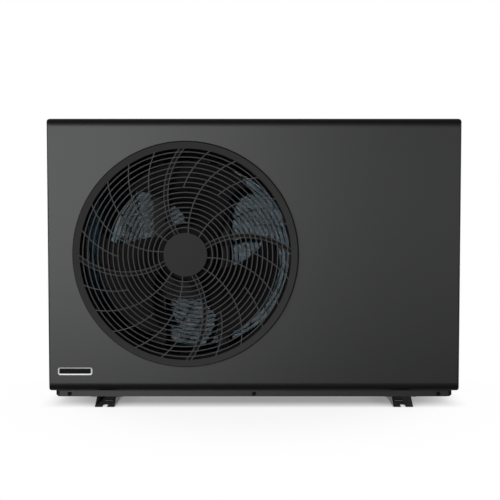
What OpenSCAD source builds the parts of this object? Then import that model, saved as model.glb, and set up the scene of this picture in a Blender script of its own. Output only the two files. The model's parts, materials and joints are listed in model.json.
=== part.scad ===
// Pool heat pump: a sheet metal cabinet with a large off-centre fan at the front, an L-shaped
// finned coil at the left and rear, a compressor compartment at the right, and two water
// unions at the rear. Millimetres, +Z up, the front faces -Y, the floor is Z = 0.

/* [Casing] */
// Width of the front panel
casing_w = 900; // [880:1:960]
// Height from the floor to the top
total_h = 630; // [620:1:680]
// Depth from the front face to the rear face
casing_d = 370; // [360:1:420]
// Thickness of the sheet metal
sheet = 1.5; // [1:0.1:1.8]
// Radius of the roll along the front panel's top and bottom edges
roll_r = 20; // [12:1:24]
// Radius of the bends along the front panel's side edges
side_bend_r = 4; // [3:0.5:6]
// Radius of the front panel's corners, seen from the front
corner_r = 6; // [4:0.5:10]
// Depth of the front panel's return along its top and sides
front_return = 46; // [42:1:52]
// Outer radius of the bends along the top cover's edges
cover_bend = 5; // [3:0.5:6]
// Outer radius of the bends along the side panels' upright edges
panel_bend = 3; // [2.5:0.5:5]
// Step from the front panel's side edges in to the side panels
side_step = 10; // [6:0.5:12]

/* [Base] */
// Height of the base pan's underside above the floor
foot_h = 17; // [15:0.5:20]
// Width of each foot channel
foot_w = 42.5; // [40:0.5:52]
// Distance between the two foot channels
foot_spacing = 654; // [600:1:690]
// Thickness of the foot channels
foot_t = 2; // [1.5:0.1:2.5]
// Reach of the feet past the front and rear faces
foot_reach = 6; // [3:1:11]
// Slant of the foot walls' ends
foot_slant = 28; // [20:1:32]
// Height of the base pan's rim
pan_rim = 40; // [34:1:46]
// Outer radius of the bends along the base pan's lower edges
pan_bend = 6; // [3:0.5:8]
// Height of the skirt below the front panel's rolled edge
skirt_h = 15; // [12:0.5:18]
// Distance from the front face back to the skirt
skirt_setback = 27; // [25:1:31]
// Distance from the front panel's side edge in to the skirt's end
skirt_inset = 18; // [12:0.5:20]

/* [Fan and guard] */
// Sideways place of the fan's axis in a casing of the standard width
fan_x = -149; // [-160:1:-140]
// Height of the fan's axis above the front panel's middle
fan_rise = 3; // [0:0.5:3]
// Radius of the round opening in the front panel
opening_r = 247; // [238:1:248]
// How far the guard stands out of the front panel
guard_proud = 12; // [9:0.5:16]
// Radius of the disc in the guard's middle
hub_disc_r = 48; // [40:1:56]
// Number of rings in the guard
ring_count = 16; // [13:1:17]
// Width of the guard's bars
bar_w = 2.4; // [2:0.1:3]
// Depth of the guard's bars
bar_depth = 6; // [5:0.5:7]
// Number of full spokes in the guard, in steps that keep four double ones
spoke_count = 12; // [8:4:16]
// Radius of the arc that each spoke follows
spoke_arc_r = 163; // [150:1:190]
// Angle by which a spoke leans from the disc to the rim
spoke_lean = 21; // [14:0.5:24]
// Distance between the two rails of a double spoke
rail_gap = 8.6; // [7:0.1:10]
// Number of fan blades
blade_count = 3; // [3:1:4]
// Gap between the blade tips and the shroud
tip_gap = 14; // [10:1:18]
// Radius of the fan's hub
fan_hub_r = 66; // [58:1:72]
// Radius of the fan motor
motor_r = 52; // [46:1:54]
// Length of the fan motor
motor_l = 78; // [70:1:84]
// Radius of the motor's shaft
shaft_r = 6; // [5:0.5:7]
// Distance between the two posts of the motor's bracket
post_gap = 154; // [145:1:170]

/* [Coil] */
// Thickness of the finned coil
coil_t = 44; // [40:1:48]
// Distance between tubes in one row of the coil
tube_pitch = 25.4; // [24:0.1:26]
// Distance between the coil's two rows of tubes
row_pitch = 22; // [20:0.5:23]
// Outer radius of the coil's tubes
tube_r = 4.8; // [4:0.1:5]
// Radius of the coil's bend around the corner
bend_r = 70; // [62:1:78]
// Distance between the coil's fins
fin_pitch = 6; // [5:0.5:9]
// Thickness of the coil's fins
fin_t = 0.6; // [0.4:0.1:0.8]

/* [Refrigerant and water] */
// Radius of the compressor's shell
compressor_r = 56; // [50:1:58]
// Height of the compressor's shell
compressor_h = 232; // [210:1:236]
// Radius of the water heat exchanger's shell
exchanger_r = 68; // [62:1:72]
// Outer radius of the pool pipe that goes into a union
pipe_r = 25; // [24:0.5:26]
// Radial clearance of the pool pipe in its socket
pipe_clearance = 0.1; // [0.05:0.01:0.2]
// Reach of the unions past the rear face
union_reach = 64; // [60:1:72]
// Height of the lower water union above the base pan
union_low = 86; // [80:1:100]
// Distance between the two water unions
union_spacing = 190; // [180:1:200]

/* [Controls and handles] */
// Width of the controller's bezel
controller_w = 134; // [120:1:150]
// Height of the controller's bezel
controller_h = 94; // [84:1:100]
// Width of a handle's finger opening
handle_w = 112; // [100:1:124]
// Height of a handle's finger opening
handle_h = 36; // [32:1:38]
// Depth of a handle's cup
handle_depth = 32; // [28:1:36]
// Outer radius of the condensate drain's spigot
drain_r = 9; // [8:0.5:10]
// Radius of the cable's way through a gland
gland_bore_r = 5; // [4:0.5:6]

/* [Hidden] */
$fn = 64;

// Seating gap between parts that lie next to each other
gap = 0.3;
// How far a cutter runs past the face that it cuts
past = 1;

// The main planes: depth is centred between the guard's front and the unions' ends
y_front = guard_proud - (guard_proud + casing_d + union_reach) / 2;
y_back = y_front + casing_d;
x_side = casing_w / 2 - side_step;
z_pan = foot_h;
z_floor = z_pan + sheet;
z_front = z_pan + skirt_h;
z_top = total_h;
z_rim = z_pan + pan_rim;

// Fan opening, guard and shroud
fan_z = (z_front + z_top) / 2 + fan_rise;
guard_r = opening_r - 4;
rim_in = guard_r - 11;
ring_pitch = (rim_in - hub_disc_r) / (ring_count + 0.9);
clamp_r = opening_r + 21;
shroud_r = clamp_r + 4;
stud_circle = opening_r + 11;
stud_count = 6;
stud_r = 2;
guard_flange = 3;
y_guard = y_front - guard_proud;
y_clamp = y_front + sheet;
y_shroud = y_clamp + guard_flange;
shroud_t = 2;
shroud_l = 58;
throat_r = opening_r - 19;
spoke_turn = 22.2;
half_spoke_ring = 9;

// A casing of another width moves the fan and the partition, so that both keep clear of its sides.
// The partition's sheet ends at x_wall.
standard_w = 900;
extra_w = casing_w - standard_w;
fan_mid = fan_x - 0.41 * extra_w;
x_wall = fan_mid + shroud_r + 27 + 0.26 * extra_w;

// Fan, shaft and motor along Y
fan_tip_r = throat_r - tip_gap;
fan_y = y_front + 80;
fan_hub_l = 58;
y_hub = fan_y - fan_hub_l / 2;
fan_nut_t = 8;
y_motor = y_front + 124;
y_mount = y_motor + motor_l;
post_w = 28;
post_d = 25;
plate_drop = 117;
plate_rise = 64;
motor_screw_circle = motor_r - 8;

// Side panels and cover
side_flange = 14;
left_rear_flange = 30;
y_side = y_front + skirt_setback + 1;
z_side = z_pan + 3;
cover_lip = 20;
y_cover = y_front + front_return + 0.5;
guard_bar_t = 4;
y_grille = y_back - sheet - guard_bar_t;
grille_border = 12;
grille_bar = 3.6;
grille_row = 24;
grille_column = 80;
z_grille = z_rim;
z_grille_top = z_top - 24;

// Coil
coil_y = y_back - 16 - coil_t / 2;
coil_x = -x_side + sheet + 14.5 + coil_t / 2;
coil_front = y_front + 102;
coil_end = x_wall - 45;
coil_z = z_floor + 6;
bend_x = coil_x + bend_r;
bend_y = coil_y - bend_r;
handle_z = z_top - 45;
tube_rows = 2 * floor((handle_z - 30 - coil_z) / (2 * tube_pitch));
coil_h = (tube_rows + 0.5) * tube_pitch;
coil_top = coil_z + coil_h;
tube_stub = 9;
row_places = [-row_pitch / 2, row_pitch / 2];

// Intake window of the left panel, over the coil: its lower front corner and its size
side_window = [coil_front, z_rim + 30];
side_window_size = [y_back - 52 - coil_front, handle_z - 60 - side_window[1]];

// Compressor compartment
compressor_foot_circle = compressor_r + 20;
compressor_foot_r = 16;
compressor_x = x_wall + 85;
compressor_y = y_front + skirt_setback + sheet + compressor_foot_circle + compressor_foot_r + 5;
grommet_h = 20;
plate_t = 3;
z_plate = z_floor + grommet_h;
z_shell = z_plate + plate_t;
accumulator_r = 25;
accumulator_x = compressor_x + compressor_r + accumulator_r + 8;
accumulator_h = 180;
z_accumulator = z_shell + 46;
stub_r = 6;
stub_l = 16;
box_z = z_top - 190;
box_h = 140;
exchanger_x = x_side - 88;
exchanger_y = y_back - 22 - exchanger_r;
exchanger_wall = 6;
exchanger_leg = 10;
z_exchanger = z_floor + exchanger_leg;
z_exchanger_top = box_z - 54;
cap_t = 10;
z_cap = z_exchanger_top + cap_t;
valve_y = compressor_y + compressor_r + 14;
valve_z = box_z - 114.5;
valve_r = 13;
valve_l = 92;
valve_port = 28;
port_l = 16;
expansion_x = x_wall + 24;
expansion_y = valve_y + 78;
expansion_port = [26, 14];
expansion_z = valve_z - 100;
wall_hole_r = 10;
gas_hole_z = valve_z - 70;
liquid_hole_z = valve_z - 150;
wall_pipe_x = x_wall - sheet - stub_r - 1;

// Water unions: nozzle, seal, tailpiece and nut along +Y
union_z = [z_floor + union_low, z_floor + union_low + union_spacing];
water_r = 21;
thread_r = pipe_r + 8;
nozzle_r = pipe_r + 2;
y_thread = y_back + 6;
y_nozzle = y_back + 24;
seal_t = 2;
collar_t = 6;
y_collar = y_nozzle + seal_t;
y_union = y_back + union_reach;
tail_r = pipe_r + 4.2;
socket_depth = union_reach - 36;
nut_r = thread_r + 8;
nut_lip = 6;

// Controller and handles
controller_y = y_front + casing_d / 2;
controller_z = box_z;
bezel_t = 2;
lid_t = 2.4;
lid_x = x_side + bezel_t + gap;
pin_r = 1.1;
barrel_r = 2;
hinge_x = x_side + barrel_r + 0.5;
hinge_z = controller_z + controller_h / 2 + barrel_r + 0.4;
handle_wall = 2;
handle_border = 7;

// Fasteners
screw_r = 2;
screw_hole_r = 2.2;
screw_head_r = 4.65;
screw_head_h = 2.2;
bolt_r = 3;
bolt_hole_r = 3.3;
rear_screw_z = [z_rim + 40, (z_rim + z_top) / 2, z_top - 70];
gland_places = [[x_wall + 60, z_top - 120], [x_wall + 110, z_top - 120]];

// Solid between two planes across Y from an outline in X and Z
module slab_y(y0, y1) {
    translate([0, y1, 0]) rotate([90, 0, 0]) linear_extrude(y1 - y0) children();
}

// Solid between two planes across X from an outline in Y and Z
module slab_x(x0, x1) {
    translate([x0, 0, 0]) rotate([90, 0, 90]) linear_extrude(x1 - x0) children();
}

// Solid between two planes across Z from an outline in X and Y
module slab_z(z0, z1) {
    translate([0, 0, z0]) linear_extrude(z1 - z0) children();
}

// Block between two opposite corners
module block(a, b) {
    translate(a) cube(b - a);
}

// Turned solid around an axis along Y, from an outline of radius and Y
module turned_y() {
    rotate([-90, 0, 0]) rotate_extrude() children();
}

// Rod or hole along Y
module rod_y(r, y0, y1) {
    translate([0, y0, 0]) rotate([-90, 0, 0]) cylinder(r = r, h = y1 - y0);
}

// Rod or hole along X
module rod_x(r, x0, x1) {
    translate([x0, 0, 0]) rotate([0, 90, 0]) cylinder(r = r, h = x1 - x0);
}

// Rectangle with round corners, centred
module round_rect(w, h, r) {
    square([w - 2 * r, h], center = true);
    square([w, h - 2 * r], center = true);
    for (x = [-1, 1], y = [-1, 1])
        translate([x * (w / 2 - r), y * (h / 2 - r)]) circle(r);
}

// Slot with round ends along its first axis, centred
module long_hole(l, w) {
    square([l - w, w], center = true);
    for (x = [-1, 1]) translate([x * (l - w) / 2, 0]) circle(w / 2);
}

// Half outline of an upright vessel with rounded ends
module vessel_outline(r, h, end_r) {
    intersection() {
        translate([0, h / 2]) round_rect(2 * r, h, end_r);
        square([r, h]);
    }
}

// Ring between two radii, flat
module flat_ring(r_in, r_out) {
    difference() {
        circle(r_out);
        circle(r_in);
    }
}

// Screw with a round head, its shank pointing down its own axis
module round_screw(l) {
    cylinder(r = screw_head_r, h = screw_head_h);
    translate([0, 0, -l]) cylinder(r = screw_r, h = l);
}

// Hole for such a screw through the sheets under its head
module screw_hole() {
    translate([0, 0, -14]) cylinder(r = screw_hole_r, h = 20);
}

function unit(v) = v / norm(v);

// Route with its corners eased over a given length
function eased(route, ease, steps = 4) = [
    route[0],
    for (i = [1 : len(route) - 2])
        let (a = route[i] + ease * unit(route[i - 1] - route[i]),
             b = route[i] + ease * unit(route[i + 1] - route[i]))
        for (k = [0 : steps])
            let (t = k / steps)
            (1 - t) * (1 - t) * a + 2 * t * (1 - t) * route[i] + t * t * b,
    route[len(route) - 1]
];

// Round bar along a route
module bar_along(route, r, sides = 8) {
    n = len(route);
    lean = [0.36, 0.48, 0.8];
    function heading(i) = unit(route[min(i + 1, n - 1)] - route[max(i - 1, 0)]);
    points = [
        for (i = [0 : n - 1])
            let (t = heading(i), u = unit(cross(t, lean)), v = cross(t, u))
            for (k = [0 : sides - 1])
                route[i] + r * (cos(360 * k / sides) * u + sin(360 * k / sides) * v)
    ];
    skin = [
        for (i = [0 : n - 2], k = [0 : sides - 1])
            let (a = i * sides + k, b = i * sides + (k + 1) % sides)
            each [[a, a + sides, b + sides], [a, b + sides, b]]
    ];
    start_cap = [for (k = [0 : sides - 1]) k];
    end_cap = [for (k = [sides - 1 : -1 : 0]) (n - 1) * sides + k];
    polyhedron(points, concat(skin, [start_cap, end_cap]));
}

// Places of fasteners, each with its axis pointing out of the casing
module at_skirt_screws() {
    for (i = [-1, 0, 1])
        translate([i * (casing_w / 2 - skirt_inset - 22.5), y_front + skirt_setback - sheet, z_pan + 6])
            rotate([90, 0, 0]) children();
}

module at_cover_screws() {
    for (s = [-1, 1], y = [y_cover + 50, (y_cover + y_back) / 2, y_back - 50])
        translate([s * (x_side + gap + sheet), y, z_top - 13]) rotate([0, s * 90, 0]) children();
}

module at_side_screws() {
    for (s = [-1, 1], y = [y_side + 60, y_back - 70])
        translate([s * x_side, y, z_rim - 14]) rotate([0, s * 90, 0]) children();
}

module at_rear_edge_screws() {
    for (s = [-1, 1], z = rear_screw_z)
        translate([s * (x_side - 8.5), y_back, z]) rotate([-90, 0, 0]) children();
}

module at_wall_screws() {
    for (x = [x_wall - sheet - gap - grille_border / 2, x_wall + 8], z = rear_screw_z)
        translate([x, y_back - sheet, z]) rotate([-90, 0, 0]) children();
}

module at_window_screws() {
    for (y = [-grille_border / 2, side_window_size[0] + grille_border / 2], z = [0.15, 0.85])
        translate([-x_side, side_window[0] + y, side_window[1] + z * side_window_size[1]])
            rotate([0, -90, 0]) children();
}

module at_pan_screws() {
    for (x = [x_wall + 45, x_side - 50])
        translate([x, y_back - sheet, z_rim - 14]) rotate([-90, 0, 0]) children();
}

module at_studs() {
    for (k = [0 : stud_count - 1])
        translate([fan_mid, 0, fan_z]) rotate([0, 360 * k / stud_count, 0])
            translate([stud_circle, 0, 0]) children();
}

module at_foot_bolts(side) {
    for (x = [-1, 1], y = [y_front + 75, y_back - 75])
        translate([side * foot_spacing / 2 + x * (foot_w / 2 + 7), y, z_floor]) children();
}

module at_compressor_feet() {
    for (k = [0 : 2])
        translate([compressor_x, compressor_y, 0]) rotate([0, 0, 30 + 120 * k])
            translate([compressor_foot_circle, 0, 0]) children();
}

module at_motor_screws() {
    for (k = [0 : 3])
        translate([fan_mid, 0, fan_z]) rotate([0, 45 + 90 * k, 0])
            translate([motor_screw_circle, 0, 0]) children();
}

// Full form of the front panel, moved in by the sheet's thickness for its inside
module panel_form(inset, y_end) {
    w = casing_w - 2 * inset;
    z0 = z_front + inset;
    z1 = z_top - inset;
    y0 = y_front + inset;
    roll = roll_r - inset;
    bend = side_bend_r - inset;
    intersection() {
        slab_y(y0, y_end) translate([0, (z0 + z1) / 2]) round_rect(w, z1 - z0, corner_r - inset);
        slab_x(-casing_w, casing_w) {
            translate([y0 + roll, z0]) square([y_end - y0, z1 - z0]);
            translate([y0, z0 + roll]) square([roll + past, z1 - z0 - 2 * roll]);
            for (z = [z0 + roll, z1 - roll]) translate([y0 + roll, z]) circle(roll);
        }
        slab_z(z0 - past, z1 + past) {
            translate([-w / 2, y0 + bend]) square([w, y_end - y0]);
            translate([-w / 2 + bend, y0]) square([w - 2 * bend, bend + past]);
            for (s = [-1, 1]) translate([s * (w / 2 - bend), y0 + bend]) circle(bend);
        }
    }
}

module front_panel() {
    y_end = y_front + front_return;
    y_skirt = y_front + skirt_setback;
    color("dimgray") difference() {
        union() {
            difference() {
                panel_form(0, y_end);
                panel_form(sheet, y_end + past);
                block([-casing_w, y_skirt, z_front - past], [casing_w, y_end + past, z_front + sheet]);
            }
            slab_y(y_skirt - sheet, y_skirt) translate([0, z_pan + skirt_h / 2]) {
                round_rect(casing_w - 2 * skirt_inset, skirt_h, 4);
                translate([0, skirt_h / 4 + sheet / 2])
                    square([casing_w - 2 * skirt_inset, skirt_h / 2 + sheet], center = true);
            }
            for (s = [0, 1]) mirror([s, 0, 0])
                block([x_side, y_end - sheet, z_front + sheet],
                    [casing_w / 2 - sheet / 2, y_end, z_top - sheet / 2]);
            at_studs() rod_y(stud_r, y_front + sheet / 2, y_shroud + shroud_t + 4.5);
        }
        translate([fan_mid, 0, fan_z]) rod_y(opening_r, y_front - past, y_front + sheet + past);
        at_skirt_screws() screw_hole();
    }
}

// Middle of the circle that a spoke follows, for a spoke that starts on the X axis
function spoke_middle() =
    let (a = [hub_disc_r, 0],
         b = rim_in * [cos(spoke_lean), -sin(spoke_lean)],
         half = norm(b - a) / 2,
         along = unit(b - a))
    (a + b) / 2 + sqrt(spoke_arc_r * spoke_arc_r - half * half) * [along[1], -along[0]];

// Flat spoke from a radius out to the rim, moved off its own arc by shift
module spoke(r_from, w, shift = 0) {
    m = spoke_middle();
    intersection() {
        translate(m) flat_ring(spoke_arc_r + shift - w / 2, spoke_arc_r + shift + w / 2);
        flat_ring(r_from, rim_in + 2);
        rotate(atan2(m[1], m[0])) square(2 * opening_r);
    }
}

// Flange around the fan's opening, cut flat where the front panel's rolled edges come close
module clamp_outline(r_in, r_out) {
    z_low = z_front + roll_r - fan_z;
    z_high = z_top - roll_r - fan_z;
    intersection() {
        flat_ring(r_in, r_out);
        translate([-r_out - past, z_low]) square([2 * (r_out + past), z_high - z_low]);
    }
}

module fan_guard() {
    double_step = spoke_count / 4;
    web = 2;
    color([0.2, 0.2, 0.2]) translate([fan_mid, 0, fan_z]) difference() {
        union() {
            slab_y(y_guard, y_guard + bar_depth) {
                circle(hub_disc_r);
                for (k = [1 : ring_count])
                    flat_ring(hub_disc_r + k * ring_pitch - bar_w / 2,
                        hub_disc_r + k * ring_pitch + bar_w / 2);
                for (k = [0 : spoke_count - 1]) rotate(spoke_turn + 360 * k / spoke_count) {
                    if (k % double_step == 0) {
                        spoke(hub_disc_r - 1, bar_w, rail_gap / 2);
                        spoke(hub_disc_r - 1, bar_w, -rail_gap / 2);
                    } else {
                        spoke(hub_disc_r - 1, bar_w);
                    }
                    rotate(-180 / spoke_count) spoke(hub_disc_r + half_spoke_ring * ring_pitch, bar_w);
                }
                flat_ring(rim_in, guard_r - 3);
            }
            slab_y(y_guard + bar_depth - web, y_guard + bar_depth)
                for (k = [0 : 3]) rotate(spoke_turn + 90 * k) spoke(hub_disc_r - 1, rail_gap);
            turned_y() polygon([
                [guard_r - 6, y_guard], [guard_r - 2, y_guard], [guard_r, y_guard + 2],
                [guard_r, y_shroud], [guard_r - 3, y_shroud], [guard_r - 3, y_guard + bar_depth],
                [guard_r - 6, y_guard + bar_depth]]);
            slab_y(y_clamp, y_shroud) clamp_outline(guard_r - 2, clamp_r);
        }
        translate([-fan_mid, 0, -fan_z]) at_studs() rod_y(stud_r + gap, y_clamp - past, y_shroud + past);
    }
}

module fan_shroud() {
    y_end = y_shroud + shroud_l;
    flare = 8;
    color([0.1, 0.1, 0.1]) difference() {
        translate([fan_mid, 0, fan_z]) {
            turned_y() polygon([
                [throat_r + flare, y_shroud], [throat_r + flare + past, y_shroud],
                [throat_r + flare + past, y_shroud + shroud_t], [throat_r + flare, y_shroud + shroud_t],
                [throat_r + shroud_t, y_shroud + flare], [throat_r + shroud_t, y_end - flare],
                [throat_r + flare, y_end], [throat_r + flare - 2, y_end],
                [throat_r, y_end - flare], [throat_r, y_shroud + flare]]);
            slab_y(y_shroud, y_shroud + shroud_t) clamp_outline(throat_r + flare, shroud_r);
        }
        at_studs() rod_y(stud_r + gap, y_shroud - past, y_shroud + shroud_t + past);
    }
}

module shroud_nuts() {
    color("silver") at_studs() difference() {
        translate([0, y_shroud + shroud_t, 0]) rotate([-90, 0, 0]) cylinder(r = 4, h = 3.2, $fn = 6);
        rod_y(stud_r + 0.1, y_shroud, y_shroud + 8);
    }
}

// Outside or inside of the top cover, which is bent down along both sides and the rear
module cover_form(inset, y_start, z_low) {
    x_out = x_side + gap + sheet - inset;
    y_out = y_back + gap + sheet - inset;
    z_out = z_top - inset;
    r = cover_bend - inset;
    intersection() {
        slab_y(y_start, y_out) {
            translate([-x_out, z_low]) square([2 * x_out, z_out - r - z_low]);
            translate([r - x_out, z_low]) square([2 * (x_out - r), z_out - z_low]);
            for (s = [-1, 1]) translate([s * (x_out - r), z_out - r]) circle(r);
        }
        slab_x(-x_out, x_out) {
            translate([y_start, z_low]) square([y_out - y_start, z_out - r - z_low]);
            translate([y_start, z_low]) square([y_out - r - y_start, z_out - z_low]);
            translate([y_out - r, z_out - r]) circle(r);
        }
    }
}

module top_cover() {
    z_low = z_top - cover_lip;
    z_tongue = z_top - 2 * sheet - gap;
    x_tongue = x_side - side_flange - 4;
    color("dimgray") difference() {
        union() {
            difference() {
                cover_form(0, y_cover, z_low);
                cover_form(sheet, y_cover - past, z_low - past);
            }
            block([-x_tongue, y_cover, z_tongue], [x_tongue, y_cover + sheet, z_top]);
            block([-x_tongue, y_cover - 18, z_tongue], [x_tongue, y_cover + sheet, z_tongue + sheet]);
        }
        at_cover_screws() screw_hole();
    }
}

// Outside or inside of the +X side panel seen from above
module side_form(inset) {
    x_out = x_side - inset;
    y0 = y_side + inset;
    y1 = y_back - inset;
    r = panel_bend - inset;
    depth = 2 * left_rear_flange;
    translate([x_out - depth, y0]) square([depth - r, y1 - y0]);
    translate([x_out - depth, y0 + r]) square([depth, y1 - y0 - 2 * r]);
    for (y = [y0 + r, y1 - r]) translate([x_out - r, y]) circle(r);
}

// Side panel for the +X side: its front flange ends above the base pan's rim, its top flange at y_end
module side_shell(rear_flange, y_end) {
    z_end = z_top - cover_bend;
    x_in = x_side - 3 * left_rear_flange;
    difference() {
        slab_z(z_side, z_end) difference() {
            side_form(0);
            side_form(sheet);
        }
        block([x_in, y_side - past, z_side - past], [x_side - side_flange, y_side + 2 * sheet, z_top]);
        block([x_in, y_side - past, z_side - past], [x_side - sheet, y_side + panel_bend, z_rim + gap]);
        block([x_in, y_back - 2 * sheet, z_side - past], [x_side - rear_flange, y_back + past, z_top]);
    }
    slab_z(z_end - sheet, z_end) intersection() {
        side_form(0);
        translate([x_side - side_flange, y_side]) square([side_flange, y_end - y_side]);
    }
}

// Finger opening of a handle through the +X side panel
module handle_hole() {
    slab_x(x_side - 2 * sheet, x_side + past)
        translate([controller_y, handle_z]) round_rect(handle_w, handle_h, 6);
}

module left_panel() {
    color("dimgray") difference() {
        mirror([1, 0, 0]) difference() {
            side_shell(left_rear_flange, y_back - 2 * sheet - gap);
            handle_hole();
            slab_x(x_side - 2 * sheet, x_side + past) translate(side_window) square(side_window_size);
        }
        at_side_screws() screw_hole();
        at_cover_screws() screw_hole();
        at_rear_edge_screws() screw_hole();
        at_window_screws() screw_hole();
    }
}

module right_panel() {
    color("dimgray") difference() {
        side_shell(side_flange, y_back);
        handle_hole();
        slab_x(x_side - 2 * sheet, x_side + past)
            translate([controller_y, controller_z]) square([controller_w - 14, controller_h - 14],
                center = true);
        at_side_screws() screw_hole();
        at_cover_screws() screw_hole();
        at_rear_edge_screws() screw_hole();
    }
}

module rear_panel() {
    color("dimgray") difference() {
        block([x_wall - sheet, y_back - 2 * sheet, z_side],
            [x_side - panel_bend - gap, y_back - sheet, z_top - cover_bend - sheet - gap]);
        for (z = union_z) translate([exchanger_x, 0, z]) rod_y(nozzle_r + 4, y_back - 20, y_back + 20);
        for (p = gland_places) translate([p[0], 0, p[1]]) rod_y(9.5, y_back - 20, y_back + 20);
        slab_y(y_back - 20, y_back + 20)
            for (k = [0 : 5]) translate([x_wall + 85, z_rim + 120 + 16 * k]) long_hole(90, 6);
        at_rear_edge_screws() screw_hole();
        at_wall_screws() screw_hole();
        at_pan_screws() screw_hole();
    }
}

// Grille of a given size, open from one corner to another, with bars across its opening
module grille_form(size, low, high) {
    w = high[0] - low[0];
    h = high[1] - low[1];
    rows = floor(h / grille_row);
    columns = floor(w / grille_column);
    difference() {
        square(size);
        translate(low) square([w, h]);
    }
    for (k = [1 : 1 : rows - 1])
        translate([low[0] - past, low[1] + k * h / rows - grille_bar / 2]) square([w + 2 * past,
            grille_bar]);
    for (k = [1 : 1 : columns - 1])
        translate([low[0] + k * w / columns - grille_bar / 2, low[1] - past]) square([grille_bar,
            h + 2 * past]);
}

// The rear grille is closed above the coil
module rear_guard() {
    x0 = -x_side + panel_bend + gap;
    w = x_wall - sheet - gap - x0;
    h = z_grille_top - z_grille;
    color([0.15, 0.15, 0.15]) difference() {
        slab_y(y_grille, y_back - sheet) translate([x0, z_grille])
            grille_form([w, h], [grille_border, grille_border],
                [w - grille_border, coil_top - 4 - z_grille]);
        at_rear_edge_screws() screw_hole();
        at_wall_screws() screw_hole();
    }
}

module left_guard() {
    edge = [grille_border, grille_border];
    color([0.15, 0.15, 0.15]) difference() {
        mirror([1, 0, 0]) slab_x(x_side - sheet - guard_bar_t, x_side - sheet) translate(side_window - edge)
            grille_form(side_window_size + 2 * edge, edge, edge + side_window_size);
        at_window_screws() screw_hole();
    }
}

// Outline of the base pan across the casing, with round lower edges
module pan_outline(x_out, z0, z1, r) {
    translate([-x_out, z0 + r]) square([2 * x_out, z1 - z0 - r]);
    translate([r - x_out, z0]) square([2 * (x_out - r), z1 - z0]);
    for (s = [-1, 1]) translate([s * (x_out - r), z0 + r]) circle(r);
}

module base_pan() {
    x_out = x_side - sheet;
    y0 = y_front + skirt_setback;
    y1 = y_back - 2 * sheet;
    color([0.25, 0.25, 0.26]) difference() {
        slab_y(y0, y1) pan_outline(x_out, z_pan, z_rim, pan_bend);
        slab_y(y0 + sheet, y1 - sheet)
            pan_outline(x_out - sheet, z_floor, z_rim + past, pan_bend - sheet);
        at_skirt_screws() screw_hole();
        at_side_screws() screw_hole();
        at_pan_screws() screw_hole();
        for (s = [-1, 1]) at_foot_bolts(s) translate([0, 0, -10]) cylinder(r = bolt_hole_r, h = 20);
        translate([drain_x(), drain_y(), z_pan - past]) cylinder(r = drain_r + gap, h = sheet + 2 * past);
    }
}

// Foot channel: a floor plate, two walls with slanted ends, and flanges under the base pan
module foot(side) {
    y0 = y_front - foot_reach;
    y1 = y_back + foot_reach;
    slot_back = 63;
    notch_w = 11;
    notch_l = 20;
    flange = 14;
    color([0.08, 0.08, 0.08]) difference() {
        translate([side * foot_spacing / 2, 0, 0]) {
            block([-foot_w / 2, y0, 0], [foot_w / 2, y1, foot_t]);
            for (s = [0, 1]) mirror([s, 0, 0]) {
                slab_x(foot_w / 2 - foot_t, foot_w / 2)
                    polygon([[y0, 0], [y1, 0], [y1, foot_t], [y1 - foot_slant, foot_h],
                        [y0 + foot_slant, foot_h], [y0, foot_t]]);
                block([foot_w / 2 - foot_t, y0 + foot_slant + 10, foot_h - foot_t],
                    [foot_w / 2 + flange, y1 - foot_slant - 10, foot_h]);
            }
        }
        for (y = [y0 + slot_back, y1 - slot_back]) translate([side * foot_spacing / 2, y, 0])
            slab_z(-past, foot_t + past) long_hole(25, 11);
        for (e = [[y0, 1], [y1, -1]]) translate([side * foot_spacing / 2, e[0] + e[1] * notch_l, 0])
            slab_z(-past, foot_t + past) {
                circle(notch_w / 2);
                translate([0, -e[1] * notch_l]) square([notch_w, 2 * notch_l], center = true);
            }
        at_foot_bolts(side) translate([0, 0, -12]) cylinder(r = bolt_hole_r, h = 20);
    }
}

module left_foot() {
    foot(-1);
}

module right_foot() {
    foot(1);
}

module foot_bolts() {
    color("silver") for (s = [-1, 1]) at_foot_bolts(s) {
        cylinder(r = 5.8, h = 4, $fn = 6);
        translate([0, 0, -sheet - foot_t - 6]) cylinder(r = bolt_r, h = sheet + foot_t + 6);
    }
}

module foot_nuts() {
    color("silver") for (s = [-1, 1]) at_foot_bolts(s) difference() {
        translate([0, 0, -sheet - foot_t - 5]) cylinder(r = 5.8, h = 5, $fn = 6);
        translate([0, 0, -20]) cylinder(r = bolt_r + 0.1, h = 20);
    }
}

module partition() {
    x0 = x_wall - sheet;
    y0 = y_front + sheet;
    y_rim = y_front + skirt_setback + sheet + 0.5;
    y_end = y_back - 3 * sheet;
    y_step = y_cover + 8;
    z_low = z_rim + 4;
    z_high = z_top - roll_r - 4;
    flange = 16;
    color("silver") difference() {
        union() {
            slab_x(x0, x_wall) polygon([[y0, z_low], [y_rim, z_low], [y_rim, z_floor], [y_end, z_floor],
                [y_end, z_top - sheet - gap], [y_step, z_top - sheet - gap], [y_step, z_high],
                    [y0, z_high]]);
            block([x0, y0, z_low], [x_wall + flange, y0 + sheet, z_high]);
            block([x0 - flange, y_grille - sheet, z_grille], [x_wall, y_grille, z_grille_top]);
            block([x0, y_end, z_rim + gap], [x_wall + flange, y_end + sheet, z_grille_top]);
            block([x0 - flange, y_front + 60, z_floor], [x_wall, y_back - 80, z_floor + sheet]);
        }
        slab_x(x0 - past, x_wall + past) {
            translate([sink_y(), sink_z()]) square([60, 70], center = true);
            translate([valve_y, gas_hole_z]) circle(wall_hole_r);
            translate([valve_y, liquid_hole_z]) circle(wall_hole_r);
        }
        at_wall_screws() screw_hole();
    }
}

// Middle of the heat sink on the partition
function sink_y() = y_front + 210;
function sink_z() = box_z + 70;

// Place of the condensate drain in the base pan
function drain_x() = fan_mid + post_gap / 2 + post_w / 2 + 38;
function drain_y() = y_back - 130;

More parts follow.
